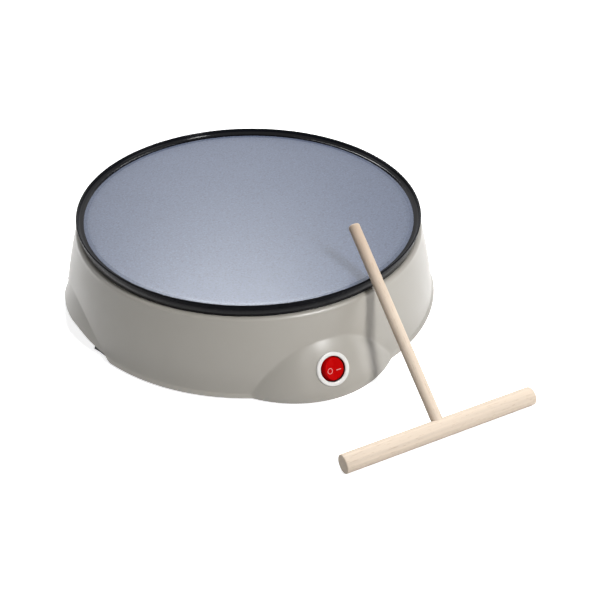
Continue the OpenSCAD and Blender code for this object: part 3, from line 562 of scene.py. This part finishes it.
def rubber(name):
    f = Finish(name)
    c = own_colour("black")
    grain = f.noise(1400, 4, 0.6)
    dust = f.span(f.noise(90, 4), 0.5, 0.75, 0, 0.35)
    f.set(Base_Color=f.blend(dust, shade(c, 0.9), (0.09, 0.088, 0.085)),
          Roughness=f.span(grain, 0.3, 0.7, 0.68, 0.85), Specular_IOR_Level=0.3, Normal=f.bump(grain, 0.05))
    return f.material


def fired_clay(name):
    f = Finish(name)
    pores = f.cells(1600)
    patch = f.noise(200, 4)
    f.set(Base_Color=f.blend(patch, (0.80, 0.77, 0.69), (0.90, 0.88, 0.82)),
          Roughness=f.span(patch, 0.3, 0.7, 0.5, 0.7), Normal=f.bump(pores, 0.04))
    return f.material


def insulation(colour):
    """Fibre-sleeved wire: a fine braid over a flat colour."""
    def build(name):
        f = Finish(name)
        braid = f.noise(2400, 2, 0.5)
        dirt = f.noise(60, 4)
        worn = f.span(f.sum(braid, dirt), 0.6, 1.4)
        f.set(Base_Color=f.blend(worn, shade(colour, 0.7), shade(colour, 1.1)),
              Roughness=f.span(braid, 0.3, 0.7, 0.5, 0.65), Normal=f.bump(braid, 0.05))
        return f.material
    return build


def beech(name, place, seed):
    """Steamed beech, its grain along the piece: growth rings, short dark flecks and pale streaks."""
    f = Finish(name)
    c = own_colour("wood")
    back = place.inverted()
    own = f.mapped(turn=tuple(back.to_euler("XYZ")), shift=tuple(back.to_translation()))
    off = f.mapped(shift=(0.023, 0.011 + seed, 0), source=own)
    bend = f.noise(22, 3, 0.5, f.mapped((1, 1, 0.12), source=off))
    far = f.sum(f.radius(off), f.sum(bend, 0.006, "MULTIPLY"))
    rings = f.sum(f.sum(far, 2400, "MULTIPLY"), 0.0, "SINE")
    streak = f.noise(420, 4, 0.6, f.mapped((1, 1, 0.03), source=own))
    fleck = f.span(f.noise(1500, 2, 0.5, f.mapped((1, 1, 0.10), source=off)), 0.62, 0.70, 0, 0.55)
    base = f.blend(f.span(rings, -1, 1, 0.25, 0.75), shade(c, 0.90), shade(c, 1.05))
    base = f.blend(f.span(streak, 0.3, 0.7), shade(c, 0.84), base)
    base = f.blend(fleck, base, (c[0] * 0.62, c[1] * 0.52, c[2] * 0.42))
    # painted shade: the handle's far end is darkened towards its tip
    tip_shade = f.span(f.split(own)[2], 95 * MM, 170 * MM, 0, 0.8)
    base = f.blend(tip_shade, base, (c[0] * 0.66, c[1] * 0.60, c[2] * 0.56))
    f.set(Base_Color=base, Roughness=f.span(streak, 0.3, 0.7, 0.55, 0.68), Specular_IOR_Level=0.35,
          Normal=f.bump(f.sum(streak, f.sum(fleck, -0.8, "MULTIPLY")), 0.05))
    return f.material


FINISHES = {
    "plate_coating": plate_coating,
    "rim_coating": rim_coating,
    "cast_underside": cast_metal,
    "body_taupe": body_skin,
    "cover_black": black_plastic,
    "gland_black": black_plastic,
    "seal_black": rubber,
    "foot_rubber": rubber,
    "white_plastic": bezel_skin,
    "rocker_red": rocker_skin,
    "mark_pale": mark_print,
    "steel": lambda n: metal(n, (0.60, 0.60, 0.61), 0.35),
    "shield_aluminised": lambda n: metal(n, (0.68, 0.69, 0.70), 0.42, (0.2, 3, 1), 0.02),
    "zinc_screw": lambda n: metal(n, (0.66, 0.65, 0.60), 0.30),
    "brass": lambda n: metal(n, (0.72, 0.52, 0.20), 0.30),
    "ceramic": fired_clay,
    "lead_red": insulation((0.50, 0.03, 0.03)),
    "lead_black": insulation((0.03, 0.03, 0.03)),
    "lead_white": insulation((0.75, 0.74, 0.70)),
    "lead_blue": insulation((0.04, 0.12, 0.42)),
    "lead_green": insulation((0.22, 0.42, 0.05)),
}


# ---- Pieces ----

class CREPE_OT_hot_plate(bpy.types.Operator):
    """Cast hot plate: stone-flecked cooking surface, black lip and wall, bosses underneath"""
    bl_idname = "crepe.hot_plate"
    bl_label = "Hot plate"

    def execute(self, context):
        s = context.scene.crepe_plate
        crest = s.lip_width / 2
        surface_r = s.lip_radius - s.lip_width - s.lip_fillet
        wall_z = s.lip_height - crest
        skirt_r = s.foot_radius - SKIRT_WIDTH
        profile = [(0, s.under_height), (skirt_r, s.under_height),
                   (skirt_r, s.wall_height), (s.foot_radius - 0.35 * MM, s.wall_height),
                   (s.foot_radius, s.wall_height + 0.3 * MM)]
        for i in range(1, 6):
            t = i / 6
            profile.append((s.foot_radius + (s.lip_radius - s.foot_radius) * t,
                            s.wall_height + (wall_z - s.wall_height) * t))
        profile += arc(s.lip_radius - crest, wall_z, crest, 0, 180, 10)
        profile += arc(surface_r, s.surface_height + s.lip_fillet, s.lip_fillet, 0, -90, 10)
        profile += [(r * MM, s.surface_height) for r in (143.7, 142.5, 130, 100, 70, 40, 15, 0)]
        plate = turned("plate_casting", profile, 256)
        smooth(plate, 35)
        # place, radius and lower end of each boss: shield screws, clamps, thermostat, fuse clip, earth tag
        bosses = [(on_circle(SCREW_CIRCLE, a), 6, 57) for a in (30, 150, 270)]
        bosses += [(on_circle(CLAMP_CIRCLE, a), 4, 61.8) for a in (0, 180, 230, 310)]
        bosses += [((14.5 * MM, 0), 4, 64), ((-14.5 * MM, 0), 4, 64),
                   ((0, -47 * MM), 4, 62.9), ((-30 * MM, 30 * MM), 4, 63)]
        parts = [column(r * MM, z * MM, s.under_height + 0.5 * MM, at, 40) for at, r, z in bosses]
        for p in parts:
            modified(p, "BEVEL", width=0.5 * MM, segments=2)
            smooth(p)
        joined(plate, parts)
        for name in ("plate_coating", "rim_coating", "cast_underside"):
            plate.data.materials.append(finish(name))
        # painted reflection: the black rim finish runs 1.8 mm past the fillet onto the flat cooking surface,
        # standing in for the dark lip reflected there
        edge = surface_r - 1.8 * MM
        for face in plate.data.polygons:
            r = math.hypot(face.center.x, face.center.y)
            if face.center.z < s.surface_height - 0.1 * MM and r < s.foot_radius - 1 * MM:
                face.material_index = 2
            elif r > edge:
                face.material_index = 1
        settle(plate, "base", "plate_coating", "hot_plate")
        return {"FINISHED"}


class CREPE_OT_body(bpy.types.Operator):
    """Moulded body: flared ring wall, round shoulder, front and rear lugs, side grips"""
    bl_idname = "crepe.body"
    bl_label = "Body"

    def wall_radius(self, s, z):
        t = (z - s.wall_foot) / (s.shoulder_height - s.wall_foot)
        return s.foot_radius - s.flare * t + s.swell * 4 * t * (1 - t)

    def profile(self, s):
        band, foot = s.band_radius, s.skirt_height
        out = [(band - 0.4 * MM, foot), (band, foot + 0.3 * MM), (band, foot + 0.9 * MM),
               (band - 0.5 * MM, foot + 1.6 * MM), (s.foot_radius + 0.4 * MM, foot + 2.7 * MM)]
        rows = [s.wall_foot + (CREASE_TOP - s.wall_foot) * i / CREASE_ROWS for i in range(CREASE_ROWS)]
        rows += [CREASE_TOP + (s.shoulder_height - CREASE_TOP) * i / SHOULDER_ROWS
                 for i in range(SHOULDER_ROWS + 1)]
        out += [(self.wall_radius(s, z), z) for z in rows]
        out += arc(s.foot_radius - s.flare - SHOULDER_RADIUS, s.shoulder_height, SHOULDER_RADIUS, 8, 90, 9)
        # over the top edge and in along the ledge that carries the plate
        out += [(r * MM, z * MM) for r, z in ((146.4, 68), (145.95, 67.8), (145.9, 66.5), (134.3, 66.5))]
        return out

    def lug_radius(self, s, angle, z, shape, swell=0.0):
        """Distance from the middle to a lug's leaning round face, along one direction."""
        turn, radius, lean, front = shape
        n, x = np.cos(angle - math.radians(turn - 90)), np.sin(angle - math.radians(turn - 90))
        long = radius / math.cos(lean)
        mid = front - long - (z - s.skirt_height) * math.tan(lean) + swell
        qa = (x / radius) ** 2 + (n / long) ** 2
        qb = -2 * n * mid / long ** 2
        qc = (mid / long) ** 2 - 1
        return (-qb + np.sqrt(np.maximum(qb * qb - 4 * qa * qc, 0))) / (2 * qa)

    def push_lugs(self, piece, s):
        """Draws the wall out to the domed faces of the four lugs; a row of points follows each crease."""
        co = points_of(piece).reshape(-1, BODY_SIDES, 3)
        angle = np.arctan2(co[:, :, 1], co[:, :, 0])
        r, z = np.hypot(co[:, :, 0], co[:, :, 1]), co[:, :, 2]
        lugs = [(turn, s.lug_radius, s.lug_lean, s.lug_front) for turn in (0, 180)]
        lugs += [(turn, s.grip_radius, s.grip_lean, s.grip_front) for turn in (90, 270)]
        wall = (z > s.wall_foot - 1e-6) & (z < CREASE_LIMIT)
        tops = []
        for shape in lugs:
            gap = self.lug_radius(s, angle, z, shape) - r
            low, high = gap[:-1], gap[1:]
            rings, columns = np.nonzero((low > 0) & (high <= 0) & wall[:-1] & wall[1:])
            top = np.full(BODY_SIDES, s.skirt_height + 1 * MM)
            for i, j in zip(rings, columns):
                t = low[i, j] / (low[i, j] - high[i, j])
                top[j] = z[i, j] + t * (z[i + 1, j] - z[i, j])
                k = i if t < 0.5 else i + 1
                z[k, j] = top[j]
                r[k, j] = self.wall_radius(s, top[j])
            tops.append(top)
        out = r.copy()
        for shape, top in zip(lugs, tops):
            half = (top - s.skirt_height) / 2
            swell = 1 - np.clip(np.abs(z - s.skirt_height - half) / half, 0, 1.2) ** 4
            if shape[0] in (0, 180):
                away = np.clip((np.abs(out * np.cos(angle)) - SWITCH_ZONE) / ZONE_BLEND, 0, 1)
                swell = swell * (s.belly + (s.side_belly - s.belly) * away * away * (3 - 2 * away))
            else:
                swell = swell * s.grip_belly
            lug = self.lug_radius(s, angle, z, shape, swell * half / FULL_HALF_HEIGHT)
            soft = np.where((shape[0] == 0) & (np.cos(angle) > 0.02), s.crease_lit, s.crease_shade)
            h = np.clip(0.5 + 0.5 * (lug - out) / soft, 0, 1)
            out = np.where(z < LUG_LIMIT, out * (1 - h) + lug * h + soft * h * (1 - h) * 0.5, out)
        co[:, :, 0], co[:, :, 1], co[:, :, 2] = out * np.cos(angle), out * np.sin(angle), z
        move_points(piece, co)

    def notch(self, s, turn):
        """The shallow arch that raises a side lug's lower edge."""
        half, level, foot = s.arch_width / 2, s.arch_level / 2, s.skirt_height
        side = []
        for i in range(25):
            t = 1 - i / 24
            side.append((level + (half - level) * t, s.arch_height - (s.arch_height - foot) * t ** 1.35))
        side = [(half + 10 * MM, -1 * MM), (half + 4 * MM, foot - 0.4 * MM)] + side
        outline = side + [(-x, z) for x, z in reversed(side)]
        mesh = bpy.data.meshes.new("arch")
        mesh.from_pydata([(x, -147.3 * MM, z) for x, z in outline], [], [list(range(len(outline)))])
        tool = bpy.data.objects.new("arch", mesh)
        bpy.context.collection.objects.link(tool)
        pick(tool)
        bpy.ops.object.mode_set(mode="EDIT")
        bpy.ops.mesh.select_all(action="SELECT")
        bpy.ops.mesh.extrude_region_move(TRANSFORM_OT_translate={"value": (0, -45 * MM, 0)})
        bpy.ops.mesh.select_all(action="SELECT")
        bpy.ops.mesh.normals_make_consistent(inside=False)
        bpy.ops.object.mode_set(mode="OBJECT")
        placed(tool, Matrix.Rotation(math.radians(turn), 4, "Z"))
        return tool

    def posts(self):
        """Screw posts inside the wall, each with a rib."""
        out = []
        for a in POST_ANGLES:
            post = column(POST_RADIUS, 8.2 * MM, 34 * MM, (POST_CIRCLE, 0), 32)
            cut(post, column(1.5 * MM, 7 * MM, 17 * MM, (POST_CIRCLE, 0), 24))
            deselect()
            bpy.ops.mesh.primitive_cube_add(size=1, location=(156 * MM, 0, 22 * MM))
            rib = named("rib", (6 * MM, 2.4 * MM, 20 * MM))
            modified(rib, "BEVEL", width=0.3 * MM, segments=2)
            joined(post, [rib])
            placed(post, Matrix.Rotation(math.radians(a), 4, "Z"))
            out.append(post)
        return out

    def execute(self, context):
        s = context.scene.crepe_body
        body = turned("body_moulding", self.profile(s), BODY_SIDES)
        self.push_lugs(body, s)
        modified(body, "SOLIDIFY", thickness=s.wall, offset=-1, use_even_offset=True, use_rim=True)
        for turn in (90, 270):
            cut(body, self.notch(s, turn))
        k, g = context.scene.crepe_switch, context.scene.crepe_gland
        for fitting, radius, turn in ((k, k.bezel_radius + 0.1 * MM, 0), (g, 10.6 * MM, math.pi)):
            hole = column(radius, -10 * MM, 8 * MM, sides=96)
            placed(hole, face_place(fitting.reach, fitting.height, s.lug_lean, turn))
            cut(body, hole)
        smooth(body, 32)
        posts = self.posts()
        for p in posts:
            smooth(p)
        joined(body, posts)
        settle(body, "base", "body_taupe", "body_shell", finishes=[finish("body_taupe")])
        return {"FINISHED"}


class CREPE_OT_bezel(bpy.types.Operator):
    """Round switch housing with its rounded bezel"""
    bl_idname = "crepe.bezel"
    bl_label = "Switch bezel"

    def execute(self, context):
        s = context.scene.crepe_switch
        r, o = s.bezel_radius, s.opening_radius
        profile = [(0, -13.5 * MM), (11.4 * MM, -13.5 * MM), (11.8 * MM, -13.1 * MM), (11.8 * MM, -1.1 * MM),
                   (r - 0.2 * MM, -1.1 * MM), (r, -0.9 * MM)]
        profile += arc(r - 1.1 * MM, s.bezel_rise - 1.1 * MM, 1.1 * MM, 0, 90, 7)
        profile += arc(o + 1.0 * MM, s.bezel_rise - 1.0 * MM, 1.0 * MM, 90, 180, 7)
        profile += [(o, -6 * MM), (o, -12 * MM), (0, -12 * MM)]
        bezel = turned("switch_bezel", profile, 160)
        smooth(bezel, 40)
        for name in ("white_plastic", "cover_black"):
            bezel.data.materials.append(finish(name))
        # painted shade: the opening's inner wall takes the black finish, darkening the gap round the rocker
        for face in bezel.data.polygons:
            inside = math.hypot(face.center.x, face.center.y) < o + 0.05 * MM
            if inside and -12.1 * MM < face.center.z < s.bezel_rise - 0.9 * MM:
                face.material_index = 1
        placed(bezel, face_place(s.reach, s.height, context.scene.crepe_body.lug_lean))
        settle(bezel, "base", "white_plastic", "switch_housing")
        return {"FINISHED"}


def rocker_top(x):
    """Height of the rocker's shallow V above its pivot."""
    return ROCKER_HEIGHT + np.sqrt(x * x + (0.35 * MM) ** 2) * ROCKER_SLOPE


def rocker_place(scene):
    s = scene.crepe_switch
    return (face_place(s.reach, s.height, scene.crepe_body.lug_lean)
            @ Matrix.Translation((0, 0, -PIVOT_DEPTH)) @ Matrix.Rotation(s.rocker_turn, 4, "Y"))


class CREPE_OT_rocker(bpy.types.Operator):
    """Red rocker with its ring and dash marks"""
    bl_idname = "crepe.rocker"
    bl_label = "Rocker"

    def execute(self, context):
        s = context.scene.crepe_switch
        deselect()
        bpy.ops.mesh.primitive_uv_sphere_add(segments=128, ring_count=120, radius=s.rocker_radius)
        cap = named("rocker_cap")
        co = points_of(cap)
        edge = 0.45 * MM
        top = rocker_top(co[:, 0])
        h = np.clip(0.5 + 0.5 * (top - co[:, 2]) / edge, 0, 1)
        co[:, 2] = top * (1 - h) + co[:, 2] * h - edge * h * (1 - h)
        co[:, 2] = np.maximum(co[:, 2], -ROCKER_HEIGHT)
        move_points(cap, co)
        smooth(cap, 60)
        deselect()
        bpy.ops.mesh.primitive_cylinder_add(
            vertices=32, radius=1 * MM, depth=19 * MM, rotation=(math.pi / 2, 0, 0))
        pins = named("pins")
        modified(pins, "BEVEL", width=0.2 * MM, segments=2)
        smooth(pins)
        joined(cap, [pins])
        placed(cap, rocker_place(context.scene))
        settle(cap, "rocker", "rocker_red", "switch_rocker", finishes=[finish("rocker_red")])

        deselect()
        bpy.ops.mesh.primitive_circle_add(vertices=96, radius=2.3 * MM)
        ring = named("ring")
        bpy.ops.object.mode_set(mode="EDIT")
        bpy.ops.mesh.select_all(action="SELECT")
        for r in (2.1, 1.9):
            bpy.ops.mesh.extrude_region_move(TRANSFORM_OT_translate={"value": (0, 0, 0)})
            bpy.ops.transform.resize(value=(r / (r + 0.2), r / (r + 0.2), 1), center_override=(0, 0, 0))
        bpy.ops.object.mode_set(mode="OBJECT")
        placed(ring, Matrix.Translation((-4 * MM, -0.9 * MM, 0)) @ Matrix.Diagonal((1.12, 1, 1, 1)))
        deselect()
        bpy.ops.mesh.primitive_grid_add(
            x_subdivisions=14, y_subdivisions=2, size=1, location=(3.9 * MM, -1.5 * MM, 0))
        dash = named("dash", (4.0 * MM, 0.48 * MM, 1))
        joined(ring, [dash])
        pick(ring)
        bpy.ops.object.mode_set(mode="EDIT")
        bpy.ops.mesh.select_all(action="SELECT")
        bpy.ops.mesh.normals_make_consistent(inside=False)
        bpy.ops.object.mode_set(mode="OBJECT")
        co = points_of(ring)
        co[:, 2] = rocker_top(co[:, 0]) + 0.02 * MM
        move_points(ring, co)
        if sum(f.normal.z for f in ring.data.polygons) < 0:
            ring.data.flip_normals()
        modified(ring, "SOLIDIFY", thickness=0.12 * MM, offset=-1)
        ring.name = ring.data.name = "rocker_print"
        smooth(ring)
        placed(ring, rocker_place(context.scene))
        settle(ring, "rocker", "mark_pale", "rocker_marks", finishes=[finish("mark_pale")])
        return {"FINISHED"}


class CREPE_OT_gland(bpy.types.Operator):
    """Cord gland with its ribbed sleeve"""
    bl_idname = "crepe.gland"
    bl_label = "Cord gland"

    def execute(self, context):
        s = context.scene.crepe_gland
        profile = [(s.bore, -13 * MM), (7.2 * MM, -13 * MM), (7.6 * MM, -12.6 * MM), (7.6 * MM, -1.1 * MM),
                   (10.3 * MM, -1.1 * MM), (10.5 * MM, -0.9 * MM)]
        profile += arc(9.7 * MM, 0.7 * MM, 0.8 * MM, 0, 90, 5)
        profile += [(6.4 * MM, 1.5 * MM)] + arc(6.4 * MM, 2.3 * MM, 0.8 * MM, 250, 180, 3)
        for i in range(3):
            z = (4.1 + 4.2 * i) * MM
            profile += [(5.6 * MM, z), (6.3 * MM, z + 0.15 * MM), (6.6 * MM, z + 0.5 * MM),
                        (6.6 * MM, z + 1.5 * MM), (6.3 * MM, z + 1.85 * MM), (5.6 * MM, z + 2 * MM)]
        profile += arc(4.9 * MM, 15.3 * MM, 0.7 * MM, 0, 90, 4)
        profile += arc(s.bore + 0.5 * MM, 15.5 * MM, 0.5 * MM, 90, 180, 3)
        gland = turned("gland_boot", profile, 96, loop=True)
        smooth(gland, 35)
        placed(gland, face_place(s.reach, s.height, context.scene.crepe_body.lug_lean, math.pi))
        settle(gland, "base", "gland_black", "cord_gland", finishes=[finish("gland_black")])
        return {"FINISHED"}


class CREPE_OT_spreader(bpy.types.Operator):
    """Wooden T spreader: round bar and round handle"""
    bl_idname = "crepe.spreader"
    bl_label = "Spreader"

    def execute(self, context):
        s = context.scene.crepe_spreader
        low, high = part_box("spreader_bar")
        middle = Vector(((low.x + high.x) / 2, (low.y + high.y) / 2, s.bar_radius))
        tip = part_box("spreader_handle")[1].z
        turn = math.radians(2.8)
        bar_place = (Matrix.Translation(middle) @ Matrix.Rotation(turn, 4, "Z")
                     @ Matrix.Rotation(math.pi / 2, 4, "Y"))
        direction = math.pi / 2 + turn
        # the lean that brings the handle's tip to its height
        rounding, lean = 1.8 * MM, math.radians(35)
        for _ in range(30):
            top = (s.bar_radius + (s.grip_length - rounding) * math.sin(lean)
                   + (s.grip_radius - rounding) * math.cos(lean) + rounding)
            lean += (tip - top) / s.grip_length
        grip_place = (Matrix.Translation(middle) @ Matrix.Rotation(direction, 4, "Z")
                      @ Matrix.Rotation(math.pi / 2 - lean, 4, "Y"))
        half, r, edge = s.bar_length / 2, s.bar_radius, 0.8 * MM
        profile = [(0, -half)] + arc(r - edge, -half + edge, edge, -90, 0, 4)
        profile += [(r, half * t) for t in (-0.6, -0.2, 0.2, 0.6)]
        profile += arc(r - edge, half - edge, edge, 0, 90, 4) + [(0, half)]
        bar = turned("spreader_dowel", profile, 96)
        placed(bar, bar_place)
        hole = column(s.grip_radius + 0.05 * MM, 0, 20 * MM, sides=64)
        placed(hole, grip_place)
        cut(bar, hole)
        smooth(bar, 35)
        wood = beech("beech_bar", bar_place, 0.004)
        settle(bar, "spreader", "beech", "spreader_bar", finishes=[wood])
        r, end = s.grip_radius, s.grip_length
        profile = [(0, 0.05 * MM), (r, 0.05 * MM), (r, end * 0.3), (r, end * 0.6)]
        profile += arc(r - rounding, end - rounding, rounding, 0, 90, 7) + [(0, end)]
        grip = turned("spreader_grip", profile, 80)
        smooth(grip, 40)
        placed(grip, grip_place)
        wood = beech("beech_handle", grip_place, 0.0)
        settle(grip, "spreader", "beech", "spreader_handle", finishes=[wood])
        return {"FINISHED"}


class CREPE_OT_carry_over(bpy.types.Operator):
    """Gives every part that keeps its own shape a worked-out finish"""
    bl_idname = "crepe.carry_over"
    bl_label = "Inner parts"

    def execute(self, context):
        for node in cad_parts.values():
            for slot in node.material_slots:
                name = slot.material.name.split(".")[0] if slot.material else ""
                if name in FINISHES:
                    slot.material = finish(name)
        return {"FINISHED"}


class CREPE_OT_stage(bpy.types.Operator):
    """Pale floor, soft studio light and camera"""
    bl_idname = "crepe.stage"
    bl_label = "Stage"

    def floor(self):
        """A counter that looks white, and lights the object less than white would."""
        deselect()
        bpy.ops.mesh.primitive_grid_add(
            x_subdivisions=12, y_subdivisions=12, size=14, location=(0, 0, -0.0002))
        floor = named("counter")
        material = bpy.data.materials.new("counter_white")
        tree = Tree(material)
        dim, bright = tree.add("ShaderNodeBsdfDiffuse"), tree.add("ShaderNodeBsdfDiffuse")
        dim.inputs["Color"].default_value = (0.32, 0.32, 0.32, 1)
        bright.inputs["Color"].default_value = (0.86, 0.86, 0.86, 1)
        away = tree.add("ShaderNodeVectorMath", operation="LENGTH")
        tree.feed(away.inputs[0], tree.add("ShaderNodeTexCoord").outputs["Object"])
        lift = tree.add("ShaderNodeEmission")
        tree.feed(lift.inputs["Strength"], tree.span(away.outputs["Value"], 0.4, 2.0, 0.8, 0.97))
        both = tree.add("ShaderNodeAddShader")
        tree.links.new(bright.outputs[0], both.inputs[0])
        tree.links.new(lift.outputs[0], both.inputs[1])
        tree.show("ShaderNodeOutputMaterial", dim.outputs[0], both.outputs[0])
        floor.data.materials.append(material)

    def room(self, scene):
        """A room that looks white, and lights the object softly, less from above."""
        world = bpy.data.worlds.new("room")
        scene.world = world
        tree = Tree(world)
        soft, white = tree.add("ShaderNodeBackground"), tree.add("ShaderNodeBackground")
        for light in (soft, white):
            light.inputs["Color"].default_value = (1, 1, 1, 1)
        white.inputs["Strength"].default_value = 1.0
        height = tree.add("ShaderNodeSeparateXYZ")
        tree.feed(height.inputs[0], tree.add("ShaderNodeTexCoord").outputs["Generated"])
        tree.feed(soft.inputs["Strength"], tree.span(height.outputs[2], 0.0, 0.8, 0.36, 0.03))
        tree.show("ShaderNodeOutputWorld", soft.outputs[0], white.outputs[0])

    def lamp(self, name, azimuth, elevation, distance, size, energy):
        deselect()
        a, e = math.radians(azimuth), math.radians(elevation)
        way = Vector((math.cos(e) * math.cos(a), math.cos(e) * math.sin(a), math.sin(e)))
        bpy.ops.object.light_add(type="AREA", location=way * distance)
        lamp = bpy.context.active_object
        lamp.name = name
        lamp.rotation_euler = way.to_track_quat("Z", "Y").to_euler()
        lamp.data.shape = "DISK"
        lamp.data.size = size
        lamp.data.energy = energy

    def camera(self, scene):
        deselect()
        bpy.ops.object.camera_add(location=(-0.2943, -0.7396, 0.5502))
        camera = bpy.context.active_object
        camera.name = "camera"
        ahead = Vector((0.34262, 0.73585, -0.58407)).normalized()
        right = ahead.cross(Vector((0, 0, 1))).normalized()
        up = right.cross(ahead)
        roll = math.radians(0.81)
        side = right * math.cos(roll) + up * math.sin(roll)
        top = up * math.cos(roll) - right * math.sin(roll)
        turn = Matrix((side, top, -ahead)).transposed()
        camera.rotation_euler = turn.to_euler()
        camera.data.lens = 63
        camera.data.sensor_width = 36
        camera.data.clip_start = 0.01
        scene.camera = camera

    def execute(self, context):
        scene = context.scene
        self.floor()
        self.room(scene)
        self.lamp("key", -68, 49, 1.6, 0.3, 12)
        self.lamp("glint", -75, 33, 1.6, 0.3, 6)
        self.lamp("side", -34, 12, 1.8, 1.1, 5.4)
        self.lamp("fill", 148, 26, 1.8, 1.0, 3)
        self.lamp("sheen", 71, 52, 1.7, 0.5, 25)
        self.camera(scene)
        scene.view_settings.view_transform = "Standard"
        return {"FINISHED"}


STEPS = (CREPE_OT_carry_over, CREPE_OT_hot_plate, CREPE_OT_body, CREPE_OT_bezel, CREPE_OT_rocker,
         CREPE_OT_gland, CREPE_OT_spreader, CREPE_OT_stage)


class CREPE_PT_panel(bpy.types.Panel):
    """Lists the pieces of the crepe maker"""
    bl_idname = "CREPE_PT_panel"
    bl_label = "Crepe maker"
    bl_space_type = "VIEW_3D"
    bl_region_type = "UI"
    bl_category = "Crepe maker"

    def draw(self, context):
        for step in STEPS:
            self.layout.operator(step.bl_idname)
        for group in GROUPS:
            box = self.layout.box()
            for key in GROUPS[group].__annotations__:
                box.prop(getattr(context.scene, group), key)


def register():
    for group, kind in GROUPS.items():
        bpy.utils.register_class(kind)
        setattr(bpy.types.Scene, group, bpy.props.PointerProperty(type=kind))
    for kind in (*STEPS, CREPE_PT_panel):
        bpy.utils.register_class(kind)


def unregister():
    for kind in reversed((*STEPS, CREPE_PT_panel)):
        bpy.utils.unregister_class(kind)
    for group, kind in GROUPS.items():
        delattr(bpy.types.Scene, group)
        bpy.utils.unregister_class(kind)


def main():
    register()
    for step in STEPS:
        group, action = step.bl_idname.split(".")
        getattr(getattr(bpy.ops, group), action)()


if __name__ == "__main__":
    main()
